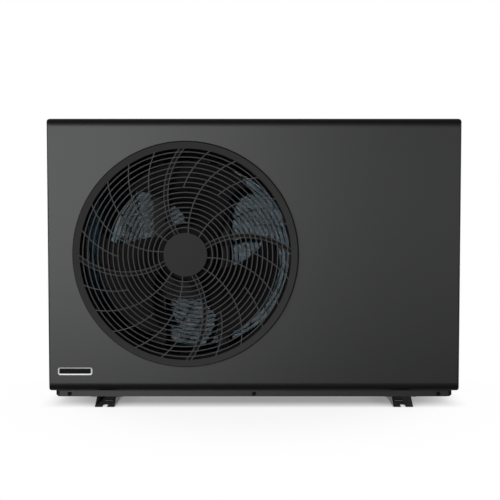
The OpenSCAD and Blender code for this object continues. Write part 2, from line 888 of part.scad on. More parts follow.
// Point of a blade: i runs from root to tip, j along the chord, side is -1 front or 1 rear
blade_rows = 7;
blade_cols = 10;
// How deep a blade's root is set into the hub
blade_root = 4;
// Half the angle that a blade covers at its root, what its tip adds, and how far its root trails
blade_half = 29.5;
blade_spread = 13.5;
blade_sweep = 35;
// Rounding of the corners of a blade's tip, and how far its rear end stays inside the tip circle
blade_corner = 12;
blade_taper = 16;
function blade_point(i, j, side) =
    let (t = i / blade_rows,
         u = 2 * j / blade_cols - 1,
         r_full = fan_hub_r - blade_root + t * (fan_tip_r - fan_hub_r + blade_root),
         r = r_full - blade_corner * pow(abs(u), 6) * pow(t, 3) - blade_taper * t * (1 + u) / 2,
         half = (blade_half + blade_spread * pow(t, 3)) * 3 / blade_count,
         a = 90 - blade_sweep * pow(1 - t, 2) + u * half,
         y = fan_y - u * (22 + 12 * t) + 7 * (1 - u * u) + side * (1.1 + 1.1 * (1 - t)))
    [r * cos(a), y, r * sin(a)];

module blade() {
    step = blade_cols + 1;
    rear = (blade_rows + 1) * step;
    points = [for (side = [-1, 1], i = [0 : blade_rows], j = [0 : blade_cols]) blade_point(i, j, side)];
    // Each patch is split into two triangles
    function patch(a, b, c, d) = [[a, b, c], [a, c, d]];
    faces = [
        for (i = [0 : blade_rows - 1], j = [0 : blade_cols - 1])
            let (a = i * step + j)
            each concat(patch(a, a + 1, a + step + 1, a + step),
                patch(rear + a, rear + a + step, rear + a + step + 1, rear + a + 1)),
        for (j = [0 : blade_cols - 1])
            let (tip = blade_rows * step + j)
            each concat(patch(j, rear + j, rear + j + 1, j + 1),
                patch(tip, tip + 1, rear + tip + 1, rear + tip)),
        for (i = [0 : blade_rows - 1])
            let (a = i * step, b = i * step + blade_cols)
            each concat(patch(a, a + step, rear + a + step, rear + a),
                patch(b, rear + b, rear + b + step, b + step))
    ];
    polyhedron(points, faces);
}

module fan() {
    boss_r = 14;
    wall = 3;
    color([0.16, 0.16, 0.17]) translate([fan_mid, 0, fan_z]) difference() {
        union() {
            turned_y() polygon([
                [0, y_hub], [fan_hub_r - 6, y_hub], [fan_hub_r, y_hub + 6], [fan_hub_r, y_hub + fan_hub_l],
                [fan_hub_r - wall, y_hub + fan_hub_l], [fan_hub_r - wall, y_hub + 8],
                [fan_hub_r - 8, y_hub + wall], [boss_r, y_hub + wall], [boss_r, y_hub + 44],
                    [0, y_hub + 44]]);
            for (k = [0 : 5]) rotate([0, 15 + 60 * k, 0])
                block([boss_r - 2, y_hub + 1, -1], [fan_hub_r - 1, y_hub + 30, 1]);
            for (k = [0 : blade_count - 1]) rotate([0, -360 * k / blade_count, 0]) blade();
        }
        rod_y(shaft_r + 0.05, y_hub - past, y_hub + 46);
    }
}

module fan_nut() {
    color("silver") translate([fan_mid, 0, fan_z]) difference() {
        translate([0, y_hub - fan_nut_t, 0]) rotate([-90, 0, 0]) cylinder(r = 10.5, h = fan_nut_t, $fn = 6);
        rod_y(shaft_r + 0.05, y_hub - 20, y_hub + 20);
    }
}

module motor_shaft() {
    color("silver") translate([fan_mid, 0, fan_z]) {
        rod_y(shaft_r, y_hub - fan_nut_t - 4, y_mount - 12);
    }
}

module fan_motor() {
    lip = 4;
    color([0.55, 0.56, 0.58]) translate([fan_mid, 0, fan_z]) difference() {
        union() {
            turned_y() polygon([
                [0, y_motor], [20, y_motor], [22, y_motor + lip], [motor_r - 10, y_motor + lip],
                [motor_r, y_motor + lip + 8], [motor_r, y_mount - 8], [motor_r - 2, y_mount - 6],
                [motor_r - 2, y_mount], [0, y_mount]]);
            for (k = [0 : 11]) rotate([0, 30 * k, 0])
                block([motor_r - 3, y_motor + 18, -1.2], [motor_r + 4, y_mount - 12, 1.2]);
        }
        rod_y(shaft_r + 0.06, y_motor - past, y_mount - 11.5);
        translate([-fan_mid, 0, -fan_z]) at_motor_screws() rod_y(screw_r, y_mount - 10, y_mount + past);
    }
}

module motor_screws() {
    color("silver") at_motor_screws()
        translate([0, y_mount + 2, 0]) rotate([-90, 0, 0]) round_screw(10);
}

module motor_bracket() {
    t = 2;
    z_high = coil_top + gap;
    color("lightslategray") difference() {
        union() {
            for (s = [-1, 1]) translate([fan_mid + s * post_gap / 2, 0, 0]) difference() {
                block([-post_w / 2, y_mount, z_floor], [post_w / 2, y_mount + post_d, z_high]);
                block([-post_w / 2 + t, y_mount + t, z_floor - past],
                    [post_w / 2 - t, y_mount + post_d + past, z_high + past]);
            }
            block([fan_mid - post_gap / 2, y_mount, fan_z - plate_drop],
                [fan_mid + post_gap / 2, y_mount + t, fan_z + plate_rise]);
            block([fan_mid - (post_gap + post_w) / 2, y_mount, z_high],
                [fan_mid + (post_gap + post_w) / 2, coil_y + coil_t / 2, z_high + t]);
            for (s = [-1, 1])
                block([fan_mid + s * post_gap / 2 - post_w / 2, y_mount - 16, z_floor],
                    [fan_mid + s * post_gap / 2 + post_w / 2, y_mount + t, z_floor + t]);
        }
        translate([fan_mid, 0, fan_z]) rod_y(16, y_mount - past, y_mount + t + past);
        at_motor_screws() rod_y(screw_hole_r, y_mount - past, y_mount + t + past);
    }
}

// Height of tube k in a row of the coil; the rear row is half a step higher
function tube_z(row, k) = coil_z + (k + 0.5 + row / 2) * tube_pitch;

// Half ring of tube between two tubes that are one step apart, bulging along its own Y
module half_turn(r) {
    rotate_extrude(angle = 180) translate([r, 0]) circle(tube_r);
}

module coil_fins() {
    color([0.3, 0.55, 0.62]) {
        for (x = [bend_x : fin_pitch : coil_end])
            block([x, coil_y - coil_t / 2, coil_z], [x + fin_t, coil_y + coil_t / 2, coil_top]);
        for (a = [99 : 9 : 171]) translate([bend_x, bend_y, 0]) rotate([0, 0, a])
            block([bend_r - coil_t / 2, -fin_t / 2, coil_z], [bend_r + coil_t / 2, fin_t / 2, coil_top]);
        for (y = [coil_front : fin_pitch : bend_y])
            block([coil_x - coil_t / 2, y, coil_z], [coil_x + coil_t / 2, y + fin_t, coil_top]);
    }
}

// One tube of the coil: along the rear, around the corner and along the left side
module coil_run(d, z) {
    translate([bend_x, coil_y + d, z]) rod_x(tube_r, 0, coil_end + tube_stub - bend_x);
    translate([bend_x, bend_y, z]) rotate([0, 0, 90])
        rotate_extrude(angle = 90) translate([bend_r + d, 0]) circle(tube_r);
    translate([coil_x - d, 0, z]) rod_y(tube_r, coil_front - tube_stub, bend_y);
}

module coil_tubes() {
    color("darkorange") for (row = [0, 1], k = [0 : 2 : tube_rows - 2]) {
        d = row_places[row];
        coil_run(d, tube_z(row, k));
        coil_run(d, tube_z(row, k + 1));
        translate([coil_x - d, coil_front - tube_stub, (tube_z(row, k) + tube_z(row, k + 1)) / 2])
            rotate([180, -90, 0]) half_turn(tube_pitch / 2);
    }
}

module return_bends() {
    x = coil_end + tube_stub;
    across = sqrt(row_pitch * row_pitch + tube_pitch * tube_pitch / 4);
    color("chocolate") {
        for (row = [0, 1], k = [1 : 2 : tube_rows - 3])
            translate([x, coil_y + row_places[row], (tube_z(row, k) + tube_z(row, k + 1)) / 2])
                rotate([0, -90, -90]) half_turn(tube_pitch / 2);
        translate([x, coil_y, (tube_z(0, 0) + tube_z(1, 0)) / 2])
            rotate([-atan2(row_pitch, tube_pitch / 2), 0, 0]) rotate([0, -90, -90]) half_turn(across / 2);
    }
}

module tube_sheets() {
    edge = 4;
    z_end = coil_top + edge - 6;
    color("silver") {
        difference() {
            block([coil_end + 2, coil_y - coil_t / 2 - edge, z_floor],
                [coil_end + 2 + sheet, coil_y + coil_t / 2 + edge, z_end]);
            for (row = [0, 1], k = [0 : tube_rows - 1])
                translate([0, coil_y + row_places[row], tube_z(row, k)]) rod_x(tube_r, coil_end,
                    coil_end + 8);
        }
        difference() {
            block([coil_x - coil_t / 2 - edge, coil_front - 2 - sheet, z_floor],
                [coil_x + coil_t / 2 + edge, coil_front - 2, z_end]);
            for (row = [0, 1], k = [0 : tube_rows - 1])
                translate([coil_x - row_places[row], 0, tube_z(row, k)]) rod_y(tube_r, coil_front - 8,
                    coil_front);
        }
    }
}

module compressor() {
    color([0.12, 0.12, 0.13]) difference() {
        union() {
            translate([compressor_x, compressor_y, z_shell - 6]) rotate_extrude()
                vessel_outline(compressor_r, compressor_h + 6, 26);
            slab_z(z_plate, z_shell) {
                for (k = [0 : 2]) translate([compressor_x, compressor_y]) rotate(30 + 120 * k) {
                    translate([compressor_foot_circle, 0]) circle(compressor_foot_r);
                    translate([0, -compressor_foot_r]) square([compressor_foot_circle,
                        2 * compressor_foot_r]);
                }
                translate([compressor_x, compressor_y]) circle(compressor_r - 8);
            }
            translate([compressor_x - 20, compressor_y,
                z_shell + compressor_h - 20]) cylinder(r = stub_r, h = 20 + stub_l);
            translate([compressor_x, compressor_y, z_shell + 30]) rod_x(stub_r + 2, compressor_r - 10,
                compressor_r + 6);
            block([compressor_x - 22, compressor_y - compressor_r - 12, z_shell + 120],
                [compressor_x + 22, compressor_y - compressor_r + 14, z_shell + 176]);
        }
        at_compressor_feet() translate([0, 0, z_plate - past]) cylinder(r = 8.3, h = plate_t + 2 * past);
    }
}

module compressor_grommets() {
    color([0.05, 0.05, 0.05]) at_compressor_feet() difference() {
        translate([0, 0, z_floor]) rotate_extrude() polygon([
            [0, 0], [14, 0], [14, 6], [11, 10], [14, 14], [14, grommet_h], [8, grommet_h],
            [8, grommet_h + plate_t + gap], [12, grommet_h + plate_t + gap], [12, grommet_h + plate_t + 5],
            [0, grommet_h + plate_t + 5]]);
        translate([0, 0, z_floor - past]) cylinder(r = bolt_r + gap, h = 60);
    }
}

module compressor_bolts() {
    z_nut = z_shell + 5;
    color("silver") at_compressor_feet() translate([0, 0, z_floor]) {
        cylinder(r = bolt_r, h = z_nut - z_floor + 9);
        translate([0, 0, z_nut - z_floor]) cylinder(r = 6, h = 5, $fn = 6);
    }
}

module accumulator() {
    drop = 16;
    color([0.14, 0.14, 0.15]) {
        translate([accumulator_x, compressor_y, z_accumulator]) {
            rotate_extrude() vessel_outline(accumulator_r, accumulator_h, 16);
            translate([0, 0, accumulator_h - 10]) cylinder(r = stub_r, h = 10 + stub_l);
        }
        translate([accumulator_x - drop, compressor_y, z_shell + 30 + drop]) rotate([90, 0, 0])
            rotate([0, 0, -90]) rotate_extrude(angle = 90) translate([drop, 0]) circle(stub_r);
        translate([compressor_x, compressor_y, z_shell + 30])
            rod_x(stub_r, compressor_r + 6, accumulator_x - compressor_x - drop);
        translate([accumulator_x, compressor_y, z_shell + 30 + drop]) cylinder(r = stub_r, h = 10);
    }
}

module exchanger_shell() {
    color([0.2, 0.2, 0.21]) difference() {
        union() {
            translate([exchanger_x, exchanger_y, z_exchanger])
                cylinder(r = exchanger_r, h = z_exchanger_top - z_exchanger);
            for (a = [0, 180, 270]) translate([exchanger_x, exchanger_y, z_floor]) rotate(a)
                translate([exchanger_r - 10, 0]) cylinder(r = 7, h = exchanger_leg + past);
            for (z = union_z) translate([exchanger_x, 0, z]) {
                rod_y(nozzle_r, exchanger_y, y_nozzle);
                rod_y(thread_r, y_thread, y_nozzle);
            }
        }
        translate([exchanger_x, exchanger_y,
            z_exchanger + 10]) cylinder(r = exchanger_r - exchanger_wall, h = box_z);
        for (z = union_z) translate([exchanger_x, 0, z]) rod_y(water_r, exchanger_y, y_nozzle + past);
    }
}

// Places where refrigerant goes through the exchanger's cap
function cap_stub(i) = [exchanger_x - 26 + 16 * i, exchanger_y - 20 + 54 * i];

module exchanger_cap() {
    color([0.24, 0.24, 0.25]) {
        translate([exchanger_x, exchanger_y, z_exchanger_top]) cylinder(r = exchanger_r + 2, h = cap_t);
        for (i = [0, 1]) translate(concat(cap_stub(i), z_cap - 2)) cylinder(r = stub_r + 2, h = 14);
    }
}

module exchanger_coil() {
    r = exchanger_r - exchanger_wall - 14;
    z0 = z_exchanger + 34;
    z1 = z_exchanger_top - 30;
    turns = 9;
    steps = 18;
    winding = [
        for (k = [0 : turns * steps])
            [r * cos(360 * k / steps), r * sin(360 * k / steps), z1 - (z1 - z0) * k / (turns * steps)]
    ];
    // The winding hangs from the cap by its outer end and by a riser along its axis
    riser = eased([[r, 0, z0], [0, 0, z0], [0, 0, z_exchanger_top]], 14);
    rise = [for (k = [1 : len(riser) - 1]) riser[k]];
    color([0.72, 0.7, 0.66]) translate([exchanger_x, exchanger_y, 0])
        bar_along(concat([[r, 0, z_exchanger_top]], winding, rise), 5, 6);
}

module four_way_valve() {
    color("peru") translate([compressor_x, valve_y, valve_z]) {
        rod_x(valve_r, -valve_l / 2, valve_l / 2);
        translate([0, 0, valve_r - 4]) cylinder(r = stub_r, h = 4 + port_l);
        for (i = [-1, 0, 1]) translate([i * valve_port, 0, -valve_r - port_l]) cylinder(r = stub_r,
            h = port_l + 4);
        translate([0, valve_r + 8, 0]) rod_x(9, -40, 0);
        block([-26, 0, -4], [-14, valve_r + 8, 4]);
    }
}

module expansion_valve() {
    color("peru") translate([expansion_x, expansion_y, expansion_z]) {
        cylinder(r = 11, h = 34);
        translate([0, 0, 30]) cylinder(r = 17, h = 36);
        translate([0, 0, -14]) cylinder(r = stub_r, h = 18);
        translate([0, 0, expansion_port[1]]) rod_x(stub_r, 0, expansion_port[0]);
    }
}

module discharge_pipe() {
    top = valve_z + valve_r + port_l;
    color("chocolate") bar_along(eased([
        [compressor_x - 20, compressor_y, z_shell + compressor_h + stub_l],
        [compressor_x - 20, compressor_y, top + 24],
        [compressor_x, valve_y, top + 24],
        [compressor_x, valve_y, top]], 14), stub_r);
}

module suction_pipe() {
    start = valve_z - valve_r - port_l;
    top = z_accumulator + accumulator_h + stub_l;
    low = min(start - 38, top - 26);
    color("chocolate") bar_along(eased([
        [compressor_x, valve_y, start],
        [compressor_x, valve_y, low],
        [accumulator_x, valve_y, low],
        [accumulator_x, valve_y, top + 34],
        [accumulator_x, compressor_y, top + 34],
        [accumulator_x, compressor_y, top]], 14), stub_r);
}

module exchanger_gas_pipe() {
    start = valve_z - valve_r - port_l;
    top = z_cap + 12;
    x_riser = compressor_x + valve_l / 2 + stub_r + 6;
    color("chocolate") bar_along(eased([
        [compressor_x + valve_port, valve_y, start],
        [compressor_x + valve_port, valve_y, start - 16],
        [x_riser, valve_y, start - 16],
        [x_riser, valve_y, top + 22],
        [cap_stub(0)[0], cap_stub(0)[1], top + 22],
        concat(cap_stub(0), top)], 7), stub_r);
}

module coil_gas_pipe() {
    start = valve_z - valve_r - port_l;
    z_tube = tube_z(0, tube_rows - 1);
    x_tube = coil_end + tube_stub;
    color("chocolate") bar_along(eased([
        [compressor_x - valve_port, valve_y, start],
        [compressor_x - valve_port, valve_y, gas_hole_z],
        [wall_pipe_x, valve_y, gas_hole_z],
        [wall_pipe_x, coil_y + row_places[0], gas_hole_z],
        [wall_pipe_x, coil_y + row_places[0], z_tube],
        [x_tube, coil_y + row_places[0], z_tube]], 10), stub_r - 1);
}

module liquid_pipe() {
    top = z_cap + 12;
    over = top + 22;
    x_port = expansion_x + expansion_port[0];
    x_down = x_port + 14;
    z_port = expansion_z + expansion_port[1];
    color("chocolate") bar_along(eased([
        concat(cap_stub(1), top),
        concat(cap_stub(1), over),
        [x_down, cap_stub(1)[1], over],
        [x_down, expansion_y, over],
        [x_down, expansion_y, z_port],
        [x_port, expansion_y, z_port]], 7), stub_r - 1);
}

module coil_liquid_pipe() {
    z_tube = tube_z(1, tube_rows - 1);
    x_tube = coil_end + tube_stub;
    color("chocolate") bar_along(eased([
        [expansion_x, expansion_y, expansion_z - 14],
        [expansion_x, expansion_y, liquid_hole_z],
        [expansion_x, valve_y, liquid_hole_z],
        [wall_pipe_x, valve_y, liquid_hole_z],
        [wall_pipe_x, coil_y + row_places[1], liquid_hole_z],
        [wall_pipe_x, coil_y + row_places[1], z_tube],
        [x_tube, coil_y + row_places[1], z_tube]], 10), stub_r - 1);
}

module union_seals() {
    color([0.05, 0.05, 0.05]) for (z = union_z) translate([exchanger_x, 0, z])
        slab_y(y_nozzle, y_collar) flat_ring(water_r + 1, thread_r - 3);
}

// Loose half of a union: a collar that the nut pulls in, and a socket for the pool pipe
module tailpiece(z) {
    color([0.86, 0.87, 0.88]) translate([exchanger_x, 0, z]) difference() {
        union() {
            rod_y(thread_r - 0.5, y_collar, y_collar + collar_t);
            rod_y(tail_r, y_collar, y_union);
        }
        rod_y(water_r, y_collar - past, y_union);
        rod_y(pipe_r + pipe_clearance, y_union - socket_depth, y_union + past);
    }
}

module inlet_tailpiece() {
    tailpiece(union_z[0]);
}

module outlet_tailpiece() {
    tailpiece(union_z[1]);
}

// Union nut: runs over the nozzle's thread and holds the tailpiece's collar with its lip
module union_nut(z) {
    y0 = y_thread + 3;
    y_lip = y_collar + collar_t + gap;
    color([0.1, 0.1, 0.11]) translate([exchanger_x, 0, z]) difference() {
        union() {
            rod_y(nut_r - 2, y0, y_lip + nut_lip);
            for (k = [0 : 11]) rotate([0, 30 * k, 0])
                block([nut_r - 6, y0, -4], [nut_r, y_lip + nut_lip - 2, 4]);
        }
        rod_y(thread_r + gap, y0 - past, y_lip);
        rod_y(tail_r + gap, y0, y_lip + nut_lip + past);
    }
}

module inlet_union_nut() {
    union_nut(union_z[0]);
}

module outlet_union_nut() {
    union_nut(union_z[1]);
}

// Room in front of and behind the electrical box, and between it and the right panel
box_inset = 70;
box_side_gap = 60;
// Corners of the electrical box
function box_low() = [x_wall, y_front + box_inset, box_z];
function box_high() = [x_side - box_side_gap, y_back - box_inset, box_z + box_h];

module electrical_box() {
    a = box_low();
    b = box_high();
    color("silver") difference() {
        block(a, b);
        block(a + [sheet, sheet, sheet], b + [-sheet, -sheet, past]);
        slab_x(x_wall - past, x_wall + 2 * sheet) translate([sink_y(), sink_z()]) square([60, 70],
            center = true);
    }
}

module electrical_cover() {
    a = box_low();
    b = box_high();
    lip = 12;
    color("silver") {
        block([a[0] + 2 * sheet, a[1] - gap - sheet, b[2]],
            [b[0] + gap + sheet, b[1] + gap + sheet, b[2] + sheet]);
        for (y = [a[1] - gap - sheet, b[1] + gap])
            block([a[0] + 2 * sheet, y, b[2] - lip], [b[0] + gap + sheet, y + sheet, b[2] + sheet]);
        block([b[0] + gap, a[1] - gap - sheet, b[2] - lip],
            [b[0] + gap + sheet, b[1] + gap + sheet, b[2] + sheet]);
    }
}

module inverter_board() {
    a = box_low() + [20, 14, sheet];
    board = [box_high()[0] - a[0] - 14, box_high()[1] - a[1] - 60, 1.6];
    lift = 8;
    color("seagreen") translate(a) {
        translate([0, 0, lift]) cube(board);
        for (x = [8, board[0] - 8], y = [8, board[1] - 8]) translate([x, y, 0]) cylinder(r = 3,
            h = lift + 1);
        for (k = [0 : 2]) translate([30 + 34 * k, 40, lift + 1]) cylinder(r = 14, h = 42);
        translate([20, 76, lift + 1]) cube([40, 44, 30]);
        translate([80, 80, lift + 1]) cube([24, 18, 20]);
        translate([80, 106, lift + 1]) cube([24, 18, 20]);
    }
}

module heat_sink() {
    x0 = x_wall - sheet;
    color("silver") {
        block([x0 - 5, sink_y() - 40, sink_z() - 50], [x0, sink_y() + 40, sink_z() + 50]);
        for (k = [0 : 9])
            block([x0 - 30, sink_y() - 40 + k * 8.6, sink_z() - 50],
                [x0 - 4, sink_y() - 37.4 + k * 8.6, sink_z() + 50]);
    }
}

module terminal_block() {
    p = [box_low()[0] + 40, box_high()[1] - sheet - 34, box_low()[2] + sheet];
    color([0.9, 0.9, 0.88]) translate(p) difference() {
        cube([84, 24, 26]);
        for (k = [0 : 5]) translate([9 + 13.2 * k, 12, 12]) cylinder(r = 4.5, h = 20);
        for (k = [0 : 5]) translate([9 + 13.2 * k, 25, 8]) rotate([90, 0, 0]) cylinder(r = 3.5, h = 10);
    }
}

module cable_glands() {
    hex_t = 6;
    y_face = y_back - sheet;
    color([0.09, 0.09, 0.09]) for (p = gland_places) translate([p[0], 0, p[1]]) difference() {
        union() {
            rod_y(9.2, y_face - sheet - 8, y_face + hex_t);
            translate([0, y_face, 0]) rotate([-90, 0, 0]) cylinder(r = 14, h = hex_t, $fn = 6);
            turned_y() polygon([[0, y_face + hex_t], [11.5, y_face + hex_t], [11.5, y_face + 17],
                [8, y_face + 24], [0, y_face + 24]]);
            translate([0, y_face - sheet - 5, 0]) rotate([-90, 0, 0]) cylinder(r = 14, h = 5, $fn = 6);
        }
        rod_y(gland_bore_r, y_face - 30, y_face + 40);
    }
}

module controller() {
    knuckle = 16;
    window = [72, 40];
    color([0.12, 0.12, 0.13]) difference() {
        union() {
            slab_x(x_side, x_side + bezel_t)
                translate([controller_y, controller_z]) round_rect(controller_w, controller_h, 5);
            slab_x(x_side - 24, x_side + bezel_t / 2)
                translate([controller_y, controller_z]) square([controller_w - 15, controller_h - 15],
                    center = true);
            for (s = [-1, 1]) translate([hinge_x,
                controller_y + s * (controller_w / 2 - 14 - knuckle / 2) - knuckle / 2, hinge_z]) {
                rod_y(barrel_r, 0, knuckle);
                block([-barrel_r - 0.5, 0, -barrel_r - 3], [-0.5, knuckle, 0]);
            }
        }
        slab_x(x_side + bezel_t - 0.6, x_side + bezel_t + past)
            translate([controller_y - 16, controller_z + 6]) round_rect(window[0], window[1], 3);
        translate([hinge_x, 0, hinge_z]) rod_y(pin_r + 0.02, controller_y - controller_w,
            controller_y + controller_w);
    }
}

module controller_lid() {
    barrel_l = controller_w - 2 * 14 - 2 * 16 - 1;
    z_high = controller_z + controller_h / 2 - 3;
    color([0.35, 0.38, 0.42]) difference() {
        union() {
            slab_x(lid_x, lid_x + lid_t)
                translate([controller_y, controller_z - 2]) round_rect(controller_w - 2,
                    controller_h - 4, 5);
            translate([hinge_x, controller_y, hinge_z]) rod_y(barrel_r, -barrel_l / 2, barrel_l / 2);
            slab_y(controller_y - barrel_l / 2, controller_y + barrel_l / 2) polygon([
                [lid_x, z_high - 4], [lid_x + lid_t, z_high - 4],
                [hinge_x + barrel_r * 0.8, hinge_z], [hinge_x, hinge_z - barrel_r * 0.8]]);
        }
        translate([hinge_x, 0, hinge_z]) rod_y(pin_r + 0.06, controller_y - controller_w,
            controller_y + controller_w);
    }
}

module lid_pin() {
    l = controller_w - 2 * 14 + 2;
    color("silver") translate([hinge_x, controller_y, hinge_z]) rod_y(pin_r, -l / 2, l / 2);
}

// Handle cup for the +X side: a border on the panel and a pocket behind it
module handle() {
    w = handle_w - 1;
    h = handle_h - 1;
    color([0.07, 0.07, 0.07]) difference() {
        union() {
            slab_x(x_side, x_side + handle_wall) translate([controller_y, handle_z])
                round_rect(handle_w + 2 * handle_border, handle_h + 2 * handle_border - 4, 7);
            slab_x(x_side - handle_depth, x_side + handle_wall / 2)
                translate([controller_y, handle_z]) round_rect(w, h, 5.5);
        }
        slab_x(x_side - handle_depth + handle_wall, x_side + handle_wall + past)
            translate([controller_y, handle_z]) round_rect(w - 2 * handle_wall, h - 2 * handle_wall, 3.5);
    }
}

module left_handle() {
    mirror([1, 0, 0]) handle();
}

module right_handle() {
    handle();
}

// Drain fitting: its flange lies under the base pan and a nut holds it from inside
module drain_spigot() {
    z_end = 3;
    nut_t = 5;
    flange_t = 2;
    color([0.1, 0.1, 0.1]) translate([drain_x(), drain_y(), 0]) {
        difference() {
            union() {
                translate([0, 0, z_end]) cylinder(r = drain_r, h = z_floor + nut_t + 2 - z_end);
                translate([0, 0, z_pan - flange_t]) cylinder(r = drain_r + 5, h = flange_t);
            }
            translate([0, 0, z_end - past]) cylinder(r = drain_r - 2.5, h = z_floor + 20);
        }
        translate([0, 0, z_floor]) difference() {
            cylinder(r = drain_r + 5, h = nut_t, $fn = 6);
            translate([0, 0, -past]) cylinder(r = drain_r + 0.1, h = nut_t + 2 * past);
        }
    }
}

module skirt_screws() {
    color("silver") at_skirt_screws() round_screw(2 * sheet + 7);
}

module casing_screws() {
    color("dimgray") {
        at_cover_screws() round_screw(2 * sheet + 7);
        at_side_screws() round_screw(2 * sheet + 7);
        at_rear_edge_screws() round_screw(2 * sheet + 7);
        at_wall_screws() round_screw(2 * sheet + 7);
        at_pan_screws() round_screw(2 * sheet + 7);
        at_window_screws() round_screw(2 * sheet + 7);
    }
}

front_panel();
fan_guard();
fan_shroud();
shroud_nuts();
top_cover();
left_panel();
left_guard();
right_panel();
rear_panel();
rear_guard();
base_pan();
left_foot();
right_foot();
foot_bolts();
foot_nuts();
partition();
fan();
fan_nut();
motor_shaft();
fan_motor();
motor_screws();
motor_bracket();
coil_fins();
coil_tubes();
return_bends();
tube_sheets();
compressor();
compressor_grommets();
compressor_bolts();
accumulator();
exchanger_shell();
exchanger_cap();
exchanger_coil();
four_way_valve();
expansion_valve();
discharge_pipe();
suction_pipe();
exchanger_gas_pipe();
coil_gas_pipe();
liquid_pipe();
coil_liquid_pipe();
union_seals();
inlet_tailpiece();
outlet_tailpiece();
inlet_union_nut();
outlet_union_nut();
electrical_box();
electrical_cover();
inverter_board();
heat_sink();
terminal_block();
cable_glands();
controller();
controller_lid();
lid_pin();
left_handle();
right_handle();
drain_spigot();
skirt_screws();
casing_screws();
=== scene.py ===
import json
import math

import bmesh
import bpy
from mathutils import Matrix, Vector

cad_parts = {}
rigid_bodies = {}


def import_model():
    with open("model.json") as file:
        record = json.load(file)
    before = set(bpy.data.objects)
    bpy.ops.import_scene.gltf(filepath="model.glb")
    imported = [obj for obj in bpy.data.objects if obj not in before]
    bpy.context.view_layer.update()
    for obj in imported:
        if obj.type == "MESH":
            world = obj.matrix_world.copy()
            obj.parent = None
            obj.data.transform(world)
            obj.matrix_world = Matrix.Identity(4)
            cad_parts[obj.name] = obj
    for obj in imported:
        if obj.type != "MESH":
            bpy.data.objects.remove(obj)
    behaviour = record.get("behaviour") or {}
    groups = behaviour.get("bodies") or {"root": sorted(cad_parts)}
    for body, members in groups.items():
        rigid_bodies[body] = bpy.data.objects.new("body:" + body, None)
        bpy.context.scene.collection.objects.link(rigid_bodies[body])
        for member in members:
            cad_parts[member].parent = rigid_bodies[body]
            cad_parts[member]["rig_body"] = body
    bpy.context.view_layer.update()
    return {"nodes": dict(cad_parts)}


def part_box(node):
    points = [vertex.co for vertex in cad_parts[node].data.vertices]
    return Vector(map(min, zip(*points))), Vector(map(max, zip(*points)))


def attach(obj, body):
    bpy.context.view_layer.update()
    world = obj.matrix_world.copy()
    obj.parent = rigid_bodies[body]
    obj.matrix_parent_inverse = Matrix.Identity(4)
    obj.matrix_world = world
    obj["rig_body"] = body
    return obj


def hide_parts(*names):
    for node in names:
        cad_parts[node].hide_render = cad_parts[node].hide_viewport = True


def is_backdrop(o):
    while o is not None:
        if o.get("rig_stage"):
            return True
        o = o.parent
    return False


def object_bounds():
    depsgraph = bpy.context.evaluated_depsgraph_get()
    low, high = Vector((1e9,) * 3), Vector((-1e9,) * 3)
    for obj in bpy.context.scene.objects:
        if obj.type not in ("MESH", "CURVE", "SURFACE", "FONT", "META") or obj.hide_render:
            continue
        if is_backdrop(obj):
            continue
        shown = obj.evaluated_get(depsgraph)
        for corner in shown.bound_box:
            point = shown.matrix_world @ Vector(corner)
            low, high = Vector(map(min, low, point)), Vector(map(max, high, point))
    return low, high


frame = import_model()
nodes = frame["nodes"]


# Feet: two channels folded from steel sheet in a dull grey primer over black. The black shows
# at the cut ends of the sheet, where the primer runs thin, and the bends carry a painted highlight in light
# grey.
class Wire:
    """A socket in a material's nodes. Operators on it add Math nodes, and node() adds any other."""

    def __init__(self, tree, socket=None):
        self.tree = tree
        self.socket = socket

    def node(self, kind, settings=None, sockets=None, out=0):
        made = self.tree.nodes.new("ShaderNode" + kind)
        for name, value in (settings or {}).items():
            setattr(made, name, value)
        for name, value in (sockets or {}).items():
            if isinstance(value, Wire):
                self.tree.links.new(value.socket, made.inputs[name])
            else:
                made.inputs[name].default_value = value
        return Wire(self.tree, made.outputs[out])

    def maths(self, operation, first, second):
        return self.node("Math", {"operation": operation}, {0: first, 1: second})

    def __add__(self, other):
        return self.maths("ADD", self, other)

    def __mul__(self, other):
        return self.maths("MULTIPLY", self, other)

    __radd__ = __add__
    __rmul__ = __mul__

    def noise(self, size, detail=3.0):
        """Soft noise on these coordinates, whose patches are about size metres across."""
        return self.node("TexNoise", None, {"Vector": self, "Scale": 1 / size, "Detail": detail})

    def between(self, first, second):
        """Colour between two, with this value as the share of the second."""
        return self.node("Mix", {"data_type": "RGBA"}, {0: self, 6: (*first, 1), 7: (*second, 1)}, 2)

    def step(self, low, high):
        """Smooth step from 0 where this value is low to 1 where it is high."""
        return self.node("MapRange", {"interpolation_type": "SMOOTHSTEP"},
                         {"Value": self, "From Min": low, "From Max": high})

    def relief(self, depth, strength):
        """Normal of a surface that this value raises by up to depth metres."""
        return self.node("Bump", None, {"Height": self, "Distance": depth, "Strength": strength})


def new_finish(name, constants):
    """New material: it, its shader with the constant sockets set, and a Wire on Object coordinates."""
    material = bpy.data.materials.new(name)
    material.use_nodes = True
    shader = material.node_tree.nodes["Principled BSDF"]
    for socket, value in constants.items():
        shader.inputs[socket].default_value = value
    return material, shader, Wire(material.node_tree).node("TexCoord", out="Object")


def connect(shader, wires):
    """Links wires to a shader's sockets by name."""
    for socket, wire in wires.items():
        wire.tree.links.new(wire.socket, shader.inputs[socket])


def coated(name, dark, light, patch, rough, grain, relief, constants=None):
    """Paint or moulded plastic: its tone drifts over patches, and a fine grain is in its gloss and relief."""
    material, shader, place = new_finish(name, constants or {})
    drift = place.noise(patch)
    fine = place.noise(grain, 2.0)
    connect(shader, {
        "Base Color": drift.between(dark, light),
        "Roughness": rough - 0.06 + 0.08 * fine + 0.05 * drift,
        "Normal": fine.relief(grain * 0.25, relief),
    })
    return material


